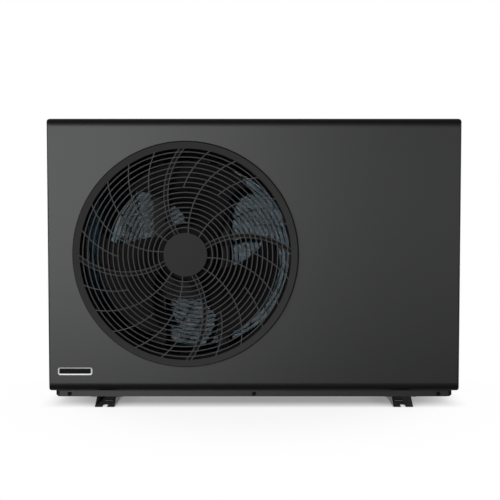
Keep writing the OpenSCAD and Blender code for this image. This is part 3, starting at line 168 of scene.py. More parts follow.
def dress(material, *names):
    """Gives CAD nodes a material."""
    for name in names:
        nodes[name].data.materials.clear()
        nodes[name].data.materials.append(material)


def whole_faces(node):
    """Shape of a CAD node with the triangles of its flat faces joined."""
    shape = bmesh.new()
    shape.from_mesh(nodes[node].data)
    bmesh.ops.remove_doubles(shape, verts=shape.verts, dist=1e-6)
    bmesh.ops.dissolve_limit(shape, angle_limit=math.radians(0.5), verts=shape.verts, edges=shape.edges)
    return shape


def round_edges(shape, edges, width, segments=2):
    """Rounds some edges of a shape."""
    bmesh.ops.bevel(shape, geom=edges, offset=width, offset_type="OFFSET", affect="EDGES", segments=segments,
                    profile=0.5, material=-1, clamp_overlap=True)


def softened(node, name, width, *materials):
    """Copy of a CAD node with its sharp edges rounded. It replaces the node and rides on its body."""
    shape = whole_faces(node)
    sharp = [e for e in shape.edges if e.is_manifold and e.calc_face_angle() > math.radians(40)]
    round_edges(shape, sharp, width)
    piece = as_piece(shape, name, materials)
    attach(piece, nodes[node]["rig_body"])
    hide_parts(node)
    return piece


def as_piece(shape, name, materials, smooth_angle=35):
    """Object at the origin from a bmesh, shaded smooth up to an angle between faces."""
    mesh = bpy.data.meshes.new(name)
    shape.to_mesh(mesh)
    shape.free()
    for material in materials:
        mesh.materials.append(material)
    mesh.polygons.foreach_set("use_smooth", [True] * len(mesh.polygons))
    mesh.set_sharp_from_angle(angle=math.radians(smooth_angle))
    piece = bpy.data.objects.new(name, mesh)
    bpy.context.scene.collection.objects.link(piece)
    evened = piece.modifiers.new("even_normals", "WEIGHTED_NORMAL")
    evened.keep_sharp = True
    return piece


foot_primer = coated("foot_primer", (0.26, 0.26, 0.265), (0.34, 0.34, 0.345), 0.03, 0.34, 0.0012, 0.12)
cut_end = coated("cut_end", (0.006, 0.006, 0.006), (0.010, 0.010, 0.010), 0.01, 0.55, 0.0008, 0.1,
                 {"Specular IOR Level": 0.2})
# Painted highlight: a light grey on the rounded bends, for the light that they catch.
painted_bend_highlight = coated("painted_bend_highlight", (0.62, 0.62, 0.63), (0.78, 0.78, 0.79), 0.01, 0.36, 0.0008, 0.1)
for side in ("left", "right"):
    channel = softened(side + "_foot", side + "_foot_channel", 0.0009, foot_primer, cut_end, painted_bend_highlight)
    for face in channel.data.polygons:
        # Faces that lean between X and Z are the bends and take the painted highlight; the ends take the
        # black.
        bend = min(abs(face.normal.x), abs(face.normal.z)) > 0.25
        face.material_index = 1 if abs(face.normal.y) > 0.3 else 2 if bend else 0


# Base pan: galvanised sheet, folded up all round, with a near-black coat on its outside, darker
# than the casing's. The zinc shows as broad grey crystals where the sheet is bare.
def zinc(name, dark, light, crystal):
    """Galvanised sheet: flat crystals of several greys, each with its own gloss."""
    material, shader, place = new_finish(name, {"Metallic": 0.85})
    spangle = place.node("TexVoronoi", None, {"Vector": place, "Scale": 1 / crystal}, "Color")
    tone = spangle.node("SeparateColor", None, {"Color": spangle}, "Red")
    dust = place.noise(0.06)
    connect(shader, {
        "Base Color": (0.55 * tone + 0.45 * dust).between(dark, light),
        "Roughness": 0.30 + 0.14 * tone + 0.10 * dust,
        "Normal": tone.relief(0.0002, 0.05),
    })
    return material


pan_coat = coated("pan_coat", (0.008, 0.008, 0.008), (0.012, 0.012, 0.012), 0.08, 0.50, 0.0010, 0.10,
                  {"Specular IOR Level": 0.15})
galvanised = zinc("galvanised", (0.34, 0.35, 0.36), (0.56, 0.57, 0.58), 0.012)
bright_zinc = zinc("bright_zinc", (0.45, 0.45, 0.44), (0.66, 0.66, 0.65), 0.004)
softened("base_pan", "base_tray", 0.0005, pan_coat)
dress(bright_zinc, "foot_bolts", "foot_nuts")


# Coil: aluminium fins with a blue water-shedding coat, pressed onto two rows of copper tubes.
# Their cut edges are bare metal, and collars of the fins cover the tubes between the tube sheets.
fin_step = 0.0020
fin_thick = 0.0004
fin_waves = 2
wave_height = 0.0009
coil_depth = 0.044
bend_radius = 0.070
fin_low, fin_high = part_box("coil_fins")
coil_line_y = fin_high.y - coil_depth / 2
bend_place = Vector((fin_low.x + coil_depth / 2 + bend_radius, coil_line_y - bend_radius, 0))


def only(kind, elements):
    """The elements of one kind, among those that a bmesh operator made."""
    return [e for e in elements if isinstance(e, kind)]


def fin(shape, middle, across):
    """Adds one fin, with its broad faces across the given direction."""
    folds = fin_waves * 2
    line = [((-1) ** k * wave_height, (k / folds - 0.5) * coil_depth) for k in range(folds + 1)]
    outline = [(x - fin_thick / 2, y) for x, y in line] + [(x + fin_thick / 2, y) for x, y in reversed(line)]
    face = shape.faces.new([shape.verts.new((x, y, fin_low.z)) for x, y in outline])
    raised = bmesh.ops.extrude_face_region(shape, geom=[face], use_keep_orig=True)["geom"]
    top = only(bmesh.types.BMVert, raised)
    bmesh.ops.translate(shape, vec=(0, 0, fin_high.z - fin_low.z), verts=top)
    plate = list({f for v in top for f in v.link_faces} | {face})
    bmesh.ops.recalc_face_normals(shape, faces=plate)
    for side in plate:
        side.material_index = int(abs(side.normal.y) > 0.9)
    place = Matrix.Translation(middle) @ Matrix.Rotation(across, 4, "Z")
    bmesh.ops.transform(shape, matrix=place, verts=list(face.verts) + top)


def fin_run(name, first, step, count):
    """A straight run of fins, as one fin that an array repeats."""
    shape = bmesh.new()
    fin(shape, first, 0 if step.x else math.pi / 2)
    run = as_piece(shape, name, [fin_blue, bare_edge])
    array = run.modifiers.new("run", "ARRAY")
    array.use_relative_offset = False
    array.use_constant_offset = True
    array.constant_offset_displace = step
    array.count = count
    return run


fin_blue, shader, place = new_finish("fin_blue", {"Metallic": 0.20, "Specular IOR Level": 0.2})
band = place.noise(0.018)
connect(shader, {
    "Base Color": band.between((0.05, 0.20, 0.31), (0.08, 0.26, 0.38)),
    "Roughness": 0.24 + 0.08 * band,
    "Normal": place.noise(0.004).relief(0.0003, 0.05),
})
bare_edge = coated("bare_edge", (0.33, 0.38, 0.41), (0.44, 0.49, 0.52), 0.01, 0.55, 0.0008, 0.1,
                   {"Specular IOR Level": 0.05})
rear_run = fin_run("coil_fins_rear", Vector((bend_place.x, coil_line_y, 0)), Vector((fin_step, 0, 0)),
                   int((fin_high.x - bend_place.x) / fin_step))
side_run = fin_run("coil_fins_side", Vector((bend_place.x - bend_radius, bend_place.y, 0)),
                   Vector((0, -fin_step, 0)), int((bend_place.y - fin_low.y) / fin_step))
fins = bmesh.new()
bend_fins = int(bend_radius * math.pi / 2 / fin_step)
for k in range(1, bend_fins):
    turn = math.pi / 2 * k / bend_fins
    fin(fins, bend_place + Vector((-bend_radius * math.sin(turn), bend_radius * math.cos(turn), 0)), turn)
corner_run = as_piece(fins, "coil_fins_corner", [fin_blue, bare_edge])
for run in (rear_run, side_run, corner_run):
    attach(run, "casing")
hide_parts("coil_fins")

collar_r = 0.0053
tube_pitch = 0.0254
row_pitch = 0.022
collars = bmesh.new()
tubes_up = int((fin_high.z - fin_low.z) / tube_pitch)
for row in (0, 1):
    off = (row - 0.5) * row_pitch
    for k in range(tubes_up):
        height = fin_low.z + (k + 0.5 + row / 2) * tube_pitch
        loop = bmesh.ops.create_circle(collars, segments=10, radius=collar_r)["verts"]
        bmesh.ops.rotate(collars, cent=(0, 0, 0), matrix=Matrix.Rotation(math.pi / 2, 3, "Y"), verts=loop)
        bmesh.ops.translate(collars, vec=(fin_high.x, coil_line_y + off, height), verts=loop)
        edges = {e for v in loop for e in v.link_edges}
        run = bmesh.ops.extrude_edge_only(collars, edges=list(edges))["geom"]
        bmesh.ops.translate(collars, vec=(bend_place.x - fin_high.x, 0, 0),
                            verts=only(bmesh.types.BMVert, run))
        turn = bmesh.ops.spin(collars, geom=only(bmesh.types.BMEdge, run), cent=bend_place, axis=(0, 0, 1),
                              angle=math.pi / 2, steps=8)["geom_last"]
        run = bmesh.ops.extrude_edge_only(collars, edges=only(bmesh.types.BMEdge, turn))["geom"]
        bmesh.ops.translate(collars, vec=(0, fin_low.y - bend_place.y, 0),
                            verts=only(bmesh.types.BMVert, run))
bmesh.ops.remove_doubles(collars, verts=collars.verts, dist=1e-6)
bmesh.ops.holes_fill(collars, edges=[e for e in collars.edges if e.is_boundary], sides=12)
bmesh.ops.recalc_face_normals(collars, faces=collars.faces)
collar_blue, shader, place = new_finish("collar_blue", {"Metallic": 0.5})
band = place.noise(0.006)
connect(shader, {
    "Base Color": band.between((0.035, 0.170, 0.220), (0.075, 0.270, 0.320)),
    "Roughness": 0.30 + 0.16 * band,
    "Normal": band.relief(0.0004, 0.15),
})
fin_collars = as_piece(collars, "coil_fin_collars", [collar_blue])
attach(fin_collars, "casing")

copper, shader, place = new_finish("copper", {"Metallic": 1.0})
tarnish = place.noise(0.022, 5.0)
connect(shader, {
    "Base Color": tarnish.between((0.62, 0.27, 0.15), (0.34, 0.15, 0.09)),
    "Roughness": 0.24 + 0.26 * tarnish,
    "Normal": place.noise(0.004).relief(0.0003, 0.08),
})
dress(copper, "coil_tubes", "return_bends")
dress(galvanised, "tube_sheets")


# Fan motor: a black painted shell with cooling ribs, screwed to a bracket of two coated steel posts.
# Its shaft is bright ground steel.
motor_paint = coated("motor_paint", (0.014, 0.014, 0.015), (0.020, 0.020, 0.021), 0.03, 0.45, 0.0015, 0.2)
dress(motor_paint, "fan_motor")
bracket_coat = coated("bracket_coat", (0.012, 0.012, 0.012), (0.016, 0.016, 0.016), 0.05, 0.50, 0.0012, 0.12,
                      {"Specular IOR Level": 0.25})
dress(bracket_coat, "motor_bracket")
dress(bright_zinc, "motor_screws", "motor_shaft", "fan_nut")


# Fan: one moulding of dark glass-filled plastic, a hollow hub with three broad sickle blades.
# Each blade has round edges.
shroud_low, shroud_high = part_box("fan_shroud")
fan_axis = Vector(((shroud_low.x + shroud_high.x) / 2, 0, (shroud_low.z + shroud_high.z) / 2))
fan_y = -0.131
hub_r = 0.066
hub_length = 0.058
hub_wall = 0.003
hub_roll = 0.009
roll_near = 0.0012
roll_far = 0.004
boss_r = 0.014
boss_length = 0.044
tip_r = 0.214
blades = 3
blade_thick = 0.0032
root_sunk = 0.004
corner_round = 0.012
trailing_cut = 0.008
root_sweep = 35
half_span = 29.5
tip_flare = 13.5
root_pitch = 0.022
tip_pitch = 0.012
belly = 0.007


def turned(shape, outline, steps):
    """Adds a closed turned form around the Y axis, from an outline of (radius, y) points."""
    points = [shape.verts.new((r, y, 0)) for r, y in outline]
    sides = [shape.edges.new((a, b)) for a, b in zip(points, points[1:] + points[:1])]
    bmesh.ops.spin(shape, geom=points + sides, cent=(0, 0, 0), axis=(0, 1, 0), angle=2 * math.pi, steps=steps,
                   use_merge=True)


fan = bmesh.new()
hub_front = fan_y - hub_length / 2
hub_back = fan_y + hub_length / 2
turned(fan, [(0.0, hub_front), (hub_r - hub_roll, hub_front), (hub_r - roll_far, hub_front + roll_near),
             (hub_r - roll_near, hub_front + roll_far), (hub_r, hub_front + hub_roll), (hub_r, hub_back),
             (hub_r - hub_wall, hub_back), (hub_r - hub_wall, hub_front + hub_roll),
             (hub_r - hub_roll, hub_front + hub_wall), (boss_r, hub_front + hub_wall),
             (boss_r, hub_front + boss_length), (0.0, hub_front + boss_length)], 72)
bmesh.ops.remove_doubles(fan, verts=fan.verts, dist=1e-6)
bmesh.ops.recalc_face_normals(fan, faces=fan.faces)
for k in range(blades):
    sheet = bmesh.new()
    bmesh.ops.create_grid(sheet, x_segments=30, y_segments=22, size=1)
    # u runs over the blade from edge to edge, -1 to 1, and t from its root to its tip, 0 to 1
    for vert in sheet.verts:
        u = vert.co.x
        t = (vert.co.y + 1) / 2
        r = hub_r - root_sunk + t * (tip_r - hub_r + root_sunk)
        r -= corner_round * u ** 6 * t ** 3 + trailing_cut * t * (1 + u)
        swept = 90 - root_sweep * (1 - t) ** 2 + u * (half_span + tip_flare * t ** 3)
        turn = math.radians(swept + 360 / blades * k)
        y = fan_y - u * (root_pitch + tip_pitch * t) + belly * (1 - u * u)
        vert.co = (r * math.cos(turn), y, r * math.sin(turn))
    bmesh.ops.recalc_face_normals(sheet, faces=sheet.faces)
    bmesh.ops.solidify(sheet, geom=sheet.faces, thickness=blade_thick)
    round_edges(sheet, [e for e in sheet.edges if e.calc_face_angle(0) > math.radians(50)], 0.0009)
    bmesh.ops.recalc_face_normals(sheet, faces=sheet.faces)
    blade_mesh = bpy.data.meshes.new("blade")
    sheet.to_mesh(blade_mesh)
    sheet.free()
    fan.from_mesh(blade_mesh)
bmesh.ops.translate(fan, vec=fan_axis, verts=fan.verts)
fan_plastic = coated("fan_plastic", (0.005, 0.005, 0.005), (0.007, 0.007, 0.007), 0.05, 0.55, 0.0014, 0.18,
                     {"Specular IOR Level": 0.2})
fan_wheel = as_piece(fan, "fan_wheel", [fan_plastic], 40)
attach(fan_wheel, "fan_rotor")
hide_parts("fan")


# Shroud: a black moulded bell mouth around the blade tips. Its flange hangs on the studs behind the
# front panel, where it also clamps the guard, and small zinc-plated nuts hold it.
shroud_plastic = coated("shroud_plastic", (0.008, 0.008, 0.009), (0.014, 0.014, 0.015), 0.05, 0.52,
                        0.0016, 0.2)
dress(shroud_plastic, "fan_shroud")
dress(bright_zinc, "shroud_nuts")


# Partition: a galvanised sheet between the fan's side and the compressor's side. It stands on the
# base pan, and the rear grille and the rear panel are screwed to its bent edge.
dress(galvanised, "partition")


# Compressor and accumulator: welded steel shells in thick, glossy black enamel. The compressor
# stands on rubber grommets, and plated bolts hold it to the base pan.
enamel = coated("enamel", (0.008, 0.008, 0.008), (0.014, 0.014, 0.014), 0.04, 0.30, 0.0030, 0.15,
                {"Coat Weight": 0.4})
rubber = coated("rubber", (0.012, 0.012, 0.012), (0.022, 0.022, 0.021), 0.01, 0.72, 0.0008, 0.3)
dress(enamel, "compressor", "accumulator")
dress(rubber, "compressor_grommets", "union_seals")
dress(bright_zinc, "compressor_bolts")


# Water heat exchanger: a bare titanium winding, a little yellowed by heat, inside a moulded dark
# vessel. The vessel's cap is welded on with solvent.
vessel = coated("vessel", (0.024, 0.024, 0.026), (0.034, 0.034, 0.036), 0.05, 0.40, 0.0020, 0.12)
dress(vessel, "exchanger_shell", "exchanger_cap")
titanium, shader, place = new_finish("titanium", {"Metallic": 1.0})
heat_tint = place.noise(0.03)
connect(shader, {
    "Base Color": heat_tint.between((0.48, 0.46, 0.43), (0.56, 0.52, 0.45)),
    "Roughness": 0.32 + 0.12 * heat_tint,
    "Normal": place.noise(0.002).relief(0.0002, 0.08),
})
dress(titanium, "exchanger_coil")


# Refrigerant valves and pipes: drawn copper, bent and brazed together. Its colour is uneven, where
# the brazing and the air have tarnished it.
dress(copper, "four_way_valve", "expansion_valve", "discharge_pipe", "suction_pipe", "exchanger_gas_pipe",
      "coil_gas_pipe", "liquid_pipe", "coil_liquid_pipe")


# Water unions: light grey moulded sockets, into which the pool pipe is glued. Black ribbed nuts
# draw them onto the nozzles of the heat exchanger.
socket_grey = coated("socket_grey", (0.50, 0.51, 0.52), (0.58, 0.59, 0.60), 0.03, 0.32, 0.0020, 0.08)
nut_black = coated("nut_black", (0.014, 0.014, 0.015), (0.022, 0.022, 0.023), 0.02, 0.38, 0.0010, 0.12)
for name in ("inlet", "outlet"):
    softened(name + "_tailpiece", name + "_socket", 0.0005, socket_grey)
    softened(name + "_union_nut", name + "_ribbed_nut", 0.0006, nut_black)


# Electrical box: galvanised tray and cover over the green inverter board, with its heat sink
# through the partition and a white terminal block.
board_green = coated("board_green", (0.010, 0.085, 0.035), (0.018, 0.120, 0.050), 0.02, 0.35, 0.0010, 0.2)
sink_metal = coated("sink_metal", (0.50, 0.50, 0.51), (0.60, 0.60, 0.61), 0.02, 0.36, 0.0010, 0.1,
                    {"Metallic": 1.0})
terminal_white = coated("terminal_white", (0.62, 0.62, 0.59), (0.70, 0.70, 0.67), 0.02, 0.40, 0.0010, 0.1)
dress(galvanised, "electrical_box", "electrical_cover")
dress(board_green, "inverter_board")
dress(sink_metal, "heat_sink")
dress(terminal_white, "terminal_block")


# Casing sheets: steel in a satin anthracite powder coat with a faint metal flake. The front panel
# is rolled over at its top and bottom, and the side and rear sheets are bent at their edges.
anthracite, shader, place = new_finish("anthracite", {"Metallic": 0.95})
cloud = place.noise(0.25)
peel = place.noise(0.0016, 2.0)
flake = place.noise(0.0004, 1.0)
connect(shader, {
    "Base Color": (0.7 * cloud + 0.3 * flake).between((0.094, 0.095, 0.096), (0.106, 0.107, 0.108)),
    "Roughness": 0.42 + 0.05 * peel + 0.04 * cloud,
    "Normal": peel.relief(0.0003, 0.06),
})
dress(anthracite, "front_panel")
for node, name in (("top_cover", "cover_sheet"), ("left_panel", "left_sheet"), ("right_panel", "right_sheet"),
                   ("rear_panel", "rear_sheet")):
    softened(node, name, 0.0004, anthracite)


# Bare plate: a thin dark plastic plate with a raised light metal frame, glued low on the left of
# the front panel. It carries nothing.
plate_w = 0.0752
plate_h = 0.0170
plate_corner = 0.0046
plate_thick = 0.0008
plate_sunk = 0.0003
frame_w = 0.0029
frame_rise = 0.0004
plate_x = -0.3920
plate_z = 0.0781
plate_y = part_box("front_panel")[0].y
plate = bmesh.new()
face = bmesh.ops.create_grid(plate, x_segments=1, y_segments=1, size=0.5)["verts"]
bmesh.ops.scale(plate, vec=(plate_w, plate_h, 1), verts=face)
bmesh.ops.bevel(plate, geom=plate.verts[:], offset=plate_corner, offset_type="OFFSET", affect="VERTICES",
                segments=5, profile=0.5, material=-1)
sheet_faces = plate.faces[:]
bmesh.ops.extrude_face_region(plate, geom=sheet_faces)
top = [f for f in plate.faces if f not in sheet_faces and len(f.verts) > 4]
bmesh.ops.translate(plate, vec=(0, 0, plate_thick), verts=list({v for f in top for v in f.verts}))
for rim_face in bmesh.ops.inset_region(plate, faces=top, thickness=frame_w, depth=0.0)["faces"]:
    rim_face.material_index = 1
bmesh.ops.translate(plate, vec=(0, 0, -frame_rise), verts=list({v for f in top for v in f.verts}))
bmesh.ops.recalc_face_normals(plate, faces=plate.faces)
bmesh.ops.rotate(plate, cent=(0, 0, 0), matrix=Matrix.Rotation(math.pi / 2, 3, "X"), verts=plate.verts)
bmesh.ops.translate(plate, vec=(plate_x, plate_y - plate_sunk, plate_z), verts=plate.verts)
plate_dark = coated("plate_dark", (0.006, 0.006, 0.006), (0.010, 0.010, 0.010), 0.02, 0.45, 0.0010, 0.08,
                    {"Specular IOR Level": 0.1})
plate_frame = coated("plate_frame", (0.60, 0.60, 0.61), (0.72, 0.72, 0.73), 0.01, 0.30, 0.0010, 0.06,
                     {"Metallic": 0.6})
bare_plate = as_piece(plate, "bare_plate", [plate_dark, plate_frame])
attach(bare_plate, "casing")


# Fan guard: one moulding of dark grey plastic. Round bars run as rings and as leaning spokes from a
# flat disc to the rim, and four of the spokes are pairs of rails with a ribbed web between them.
# The bars are a lighter grey than the disc and rim as a painted highlight, and the webs are near black
# as painted shade. The flange behind the front panel is near black too, a painted shadow line around the rim.
guard_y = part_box("fan_guard")[0].y
disc_r = 0.048
disc_roll = 0.0016
roll_mid = 0.0005
rim_in = 0.232
band_in = 0.2294
rim_r = 0.2440
flange_r = 0.268
rings = 16
ring_step = (rim_in - disc_r) / (rings + 0.9)
bar_w = 0.0024
bar_depth = 0.006
spokes = 12
spoke_turn = math.radians(22.2)
spoke_lean = math.radians(21)
spoke_arc_r = 0.163
half_spoke_ring = 9
spoke_sunk = 0.001
rail_gap = 0.0086
rail_w = bar_w * 0.8
web_y = guard_y + 0.0042
ribs = 34
rib_y = guard_y + 0.0032
rib_lean = math.radians(35)
rib_size = Vector((rail_gap - bar_w * 0.4, 0.003, 0.0011))
sheet_thick = 0.0015
flange_thick = 0.003
rim_wall = 0.003
rim_edge = 0.0006
rim_lip = 0.0008
rim_dish = 0.0022
clamp_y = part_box("front_panel")[0].y + sheet_thick
back_y = clamp_y + flange_thick


def bar(shape, middle, radius, start, end, width, front, back, steps):
    """Adds a round-faced bar that follows an arc about a point, seen from the front, in the X-Z plane."""
    half = width / 2
    bevel = min(half * 0.62, (back - front) * 0.3)
    outline = [(-half, back), (-half, front + bevel), (-half * 0.55, front + bevel * 0.25), (0, front),
               (half * 0.55, front + bevel * 0.25), (half, front + bevel), (half, back)]
    points = [shape.verts.new((middle.x + (radius + d) * math.cos(start), y,
                               middle.y + (radius + d) * math.sin(start))) for d, y in outline]
    sides = [shape.edges.new((a, b)) for a, b in zip(points, points[1:] + points[:1])]
    full = end - start > 6.28
    bmesh.ops.spin(shape, geom=points + sides, cent=(middle.x, 0, middle.y), axis=(0, -1, 0),
                   angle=end - start, steps=steps, use_merge=full)


bars = bmesh.new()
for k in range(1, rings + 1):
    bar(bars, Vector((0, 0)), disc_r + k * ring_step, 0, 2 * math.pi, bar_w, guard_y, guard_y + bar_depth,
        72 + 4 * k)
spoke_from = Vector((disc_r, 0))
spoke_to = rim_in * Vector((math.cos(spoke_lean), -math.sin(spoke_lean)))
reach = spoke_to - spoke_from
rise = math.sqrt(spoke_arc_r ** 2 - (reach.length / 2) ** 2)
arc_middle = (spoke_from + spoke_to) / 2 + rise * Vector((reach.y, -reach.x)).normalized()


def spoke(shape, turn, r_from, width, shift, front, steps=28):
    """Adds one spoke, from a radius out to the rim, on its arc moved off by shift."""
    points = []
    for r in (r_from, band_in + spoke_sunk):
        # The two circles of radius r and of the spoke's arc meet at this angle about the arc's middle
        d = arc_middle.length
        arc = spoke_arc_r + shift
        swing = math.acos((arc ** 2 + d ** 2 - r ** 2) / (2 * arc * d))
        points.append(math.atan2(-arc_middle.y, -arc_middle.x) - swing)
    start, end = sorted(points)
    middle = Matrix.Rotation(turn, 2) @ arc_middle
    start += turn
    end += turn
    bar(shape, middle, spoke_arc_r + shift, start, end, width, front, guard_y + bar_depth, steps)
    return middle, start, end


webs = bmesh.new()
for k in range(spokes):
    turn = spoke_turn + 2 * math.pi * k / spokes
    spoke(bars, turn - math.pi / spokes, disc_r + half_spoke_ring * ring_step, bar_w, 0, guard_y, 16)
    if k % (spokes // 4):
        spoke(bars, turn, disc_r - spoke_sunk, bar_w, 0, guard_y)
        continue
    for shift in (-rail_gap / 2, rail_gap / 2):
        spoke(bars, turn, disc_r - spoke_sunk, rail_w, shift, guard_y)
    middle, start, end = spoke(webs, turn, disc_r - spoke_sunk, rail_gap - bar_w, 0, web_y)
    for step in range(ribs):
        swing = start + (end - start) * (step + 0.5) / ribs
        rib = Matrix.Translation((middle.x, rib_y, middle.y)) @ Matrix.Rotation(-swing, 4, "Y")
        rib = rib @ Matrix.Translation((spoke_arc_r, 0, 0)) @ Matrix.Rotation(rib_lean, 4, "Y")
        rib = rib @ Matrix.Diagonal((*rib_size, 1))
        bmesh.ops.create_cube(webs, size=1, matrix=rib)
rim = bmesh.new()
turned(rim, [(0.0, guard_y), (disc_r - disc_roll, guard_y), (disc_r - roll_mid, guard_y + roll_mid),
             (disc_r, guard_y + disc_roll), (disc_r, guard_y + bar_depth), (0.0, guard_y + bar_depth)], 96)
turned(rim, [(band_in, guard_y + bar_depth), (band_in, guard_y + rim_dish + rim_edge),
             (band_in + rim_edge, guard_y + rim_dish), (rim_r - rim_edge, guard_y),
             (rim_r, guard_y + rim_lip), (rim_r, clamp_y), (flange_r, clamp_y), (flange_r, back_y),
             (rim_r - rim_wall, back_y), (rim_r - rim_wall, guard_y + bar_depth)], 192)
# Painted highlight: the bars are lighter than the disc and rim of the same moulding, for the light their
# round faces catch.
painted_highlight_bar_grey = coated("painted_highlight_bar_grey", (0.054, 0.054, 0.055), (0.062, 0.062, 0.063), 0.06, 0.38, 0.0012, 0.10)
rim_grey = coated("rim_grey", (0.022, 0.022, 0.022), (0.026, 0.026, 0.026), 0.06, 0.55, 0.0012, 0.16,
                  {"Specular IOR Level": 0.3})
# Painted shade: near black for the webs between the rails and for the flange in the gap at the rim.
painted_shade_black = coated("painted_shade_black", (0.008, 0.008, 0.008), (0.012, 0.012, 0.012), 0.06, 0.60, 0.0012, 0.16,
                  {"Specular IOR Level": 0.08})
# The rim's outer edge and its flange take the painted shade, which darkens the gap to the front panel.
for face in rim.faces:
    middle = face.calc_center_median()
    face.material_index = int(math.hypot(middle.x, middle.z) > rim_r - rim_edge / 2)
for shape, name, *finish in ((bars, "guard_bars", painted_highlight_bar_grey), (webs, "guard_webs", painted_shade_black),
                             (rim, "guard_rim", rim_grey, painted_shade_black)):
    bmesh.ops.holes_fill(shape, edges=[e for e in shape.edges if e.is_boundary], sides=8)
    bmesh.ops.remove_doubles(shape, verts=shape.verts, dist=1e-7)
    bmesh.ops.recalc_face_normals(shape, faces=shape.faces)
    bmesh.ops.translate(shape, vec=fan_axis, verts=shape.verts)
    part = as_piece(shape, name, finish)
    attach(part, "casing")
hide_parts("fan_guard")


# Left and rear grilles: black moulded grids over the coil, screwed behind the sheets. A strip of
# black foam closes the slot between the rear grille and the lip of the top cover.
grille_black = coated("grille_black", (0.016, 0.016, 0.017), (0.024, 0.024, 0.025), 0.05, 0.50, 0.0012, 0.18)
for side in ("left", "rear"):
    softened(side + "_guard", side + "_grille", 0.0005, grille_black)
low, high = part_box("rear_guard")
foam_h = 0.0150
foam_size = Vector((high.x - low.x - 0.001, high.y - low.y - 0.0004, foam_h))
foam_middle = Vector(((low.x + high.x) / 2, (low.y + high.y) / 2, high.z + foam_h / 2))
strip = bmesh.new()
bmesh.ops.create_cube(strip, size=1, matrix=Matrix.LocRotScale(foam_middle, None, foam_size))
round_edges(strip, strip.edges[:], 0.0010, 3)
foam = coated("foam", (0.010, 0.010, 0.010), (0.016, 0.016, 0.016), 0.01, 0.90, 0.0010, 0.60)
cover_seal = as_piece(strip, "cover_seal", [foam])
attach(cover_seal, "casing")


# Controller: a black moulded bezel on the right side, with a dark screen and grey rubber buttons that
# carry no marks. A smoked clear lid covers it, and hangs on a steel pin.
bezel_black = coated("bezel_black", (0.014, 0.014, 0.015), (0.020, 0.020, 0.021), 0.03, 0.42, 0.0008, 0.15)
softened("controller", "controller_bezel", 0.0004, bezel_black)
smoked, shader, place = new_finish("smoked", {"Transmission Weight": 0.85, "IOR": 1.49})
haze = place.noise(0.02)
connect(shader, {
    "Base Color": haze.between((0.38, 0.40, 0.43), (0.46, 0.48, 0.51)),
    "Roughness": 0.04 + 0.05 * haze,
})
softened("controller_lid", "smoked_lid", 0.0004, smoked)
dress(bright_zinc, "lid_pin")
screen_middle = Vector((0.4415, -0.042, 0.446))
screen_size = Vector((0.0006, 0.070, 0.038))
screen_border = 0.005
button_r = 0.0052
button_rise = 0.0008
button_top = 0.44225
column_y = 0.016
column_step = 0.015
row_z = 0.411
row_step = 0.024
controls = bmesh.new()
bmesh.ops.create_cube(controls, size=1, matrix=Matrix.LocRotScale(screen_middle, None, screen_size))
controls.normal_update()
front = [f for f in controls.faces if f.normal.x > 0.9]
bmesh.ops.inset_region(controls, faces=front, thickness=screen_border, depth=0.0)
front[0].material_index = 1
beside = [(column_y, screen_middle.z + column_step * k) for k in (-1, 0, 1)]
below = [(screen_middle.y + row_step * k, row_z) for k in (-1, 0, 1, 2)]
for y, z in beside + below:
    cap = bmesh.ops.create_circle(controls, cap_ends=True, segments=24, radius=button_r)["verts"]
    bmesh.ops.rotate(controls, cent=(0, 0, 0), matrix=Matrix.Rotation(math.pi / 2, 3, "Y"), verts=cap)
    bmesh.ops.translate(controls, vec=(button_top - button_rise, y, z), verts=cap)
    raised = bmesh.ops.extrude_face_region(controls, geom=[cap[0].link_faces[0]])["geom"]
    bmesh.ops.translate(controls, vec=(button_rise, 0, 0), verts=only(bmesh.types.BMVert, raised))
    round_edges(controls, only(bmesh.types.BMEdge, raised), 0.0004)
    crown = Vector((button_top, y, z))
    for vert in controls.verts:
        if (vert.co - crown).length < button_r + 0.001:
            for face in vert.link_faces:
                face.material_index = 2
bmesh.ops.recalc_face_normals(controls, faces=controls.faces)
screen_edge = coated("screen_edge", (0.006, 0.007, 0.009), (0.010, 0.011, 0.013), 0.02, 0.14, 0.0020, 0.02)
screen_blue = coated("screen_blue", (0.020, 0.045, 0.070), (0.028, 0.058, 0.086), 0.02, 0.16, 0.0020, 0.02)
button_grey = coated("button_grey", (0.24, 0.245, 0.25), (0.29, 0.295, 0.30), 0.006, 0.50, 0.0008, 0.15)
control_face = as_piece(controls, "control_face", [screen_edge, screen_blue, button_grey])
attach(control_face, "casing")


# Handles, glands and drain: black mouldings of the same plastic as the shroud. The handles are cups
# clipped into the side sheets, the glands are screwed in, and the drain is pushed into the base pan.
for side in ("left", "right"):
    softened(side + "_handle", side + "_grip_cup", 0.0006, shroud_plastic)
softened("cable_glands", "gland_pair", 0.0005, shroud_plastic)
dress(shroud_plastic, "drain_spigot")


# Screws: self-tapping screws in black zinc, along the skirt and around the casing. Each has a rounded
# head with a round recess for the driver.
recess_in = 0.0022
recess_depth = 0.0014
screw_black = coated("screw_black", (0.006, 0.006, 0.006), (0.010, 0.010, 0.010), 0.004, 0.50, 0.0006, 0.15,
                     {"Specular IOR Level": 0.1})
for node, name in (("skirt_screws", "skirt_screw_heads"), ("casing_screws", "casing_screw_heads")):
    heads = whole_faces(node)
    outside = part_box(node)
    tops = []
    for face in heads.faces:
        for axis in (0, 1):
            end = outside[face.normal[axis] > 0][axis]
            if abs(face.normal[axis]) > 0.99 and abs(face.calc_center_median()[axis] - end) < 1e-4:
                tops.append(face)
    head_edges = list({e for f in tops for e in f.edges})
    bmesh.ops.inset_individual(heads, faces=tops, thickness=recess_in)
    for top in bmesh.ops.extrude_discrete_faces(heads, faces=tops)["faces"]:
        bmesh.ops.translate(heads, vec=top.normal * -recess_depth, verts=top.verts)
    round_edges(heads, head_edges, 0.0007, 3)
    screw_set = as_piece(heads, name, [screw_black])
    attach(screw_set, "casing")
    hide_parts(node)
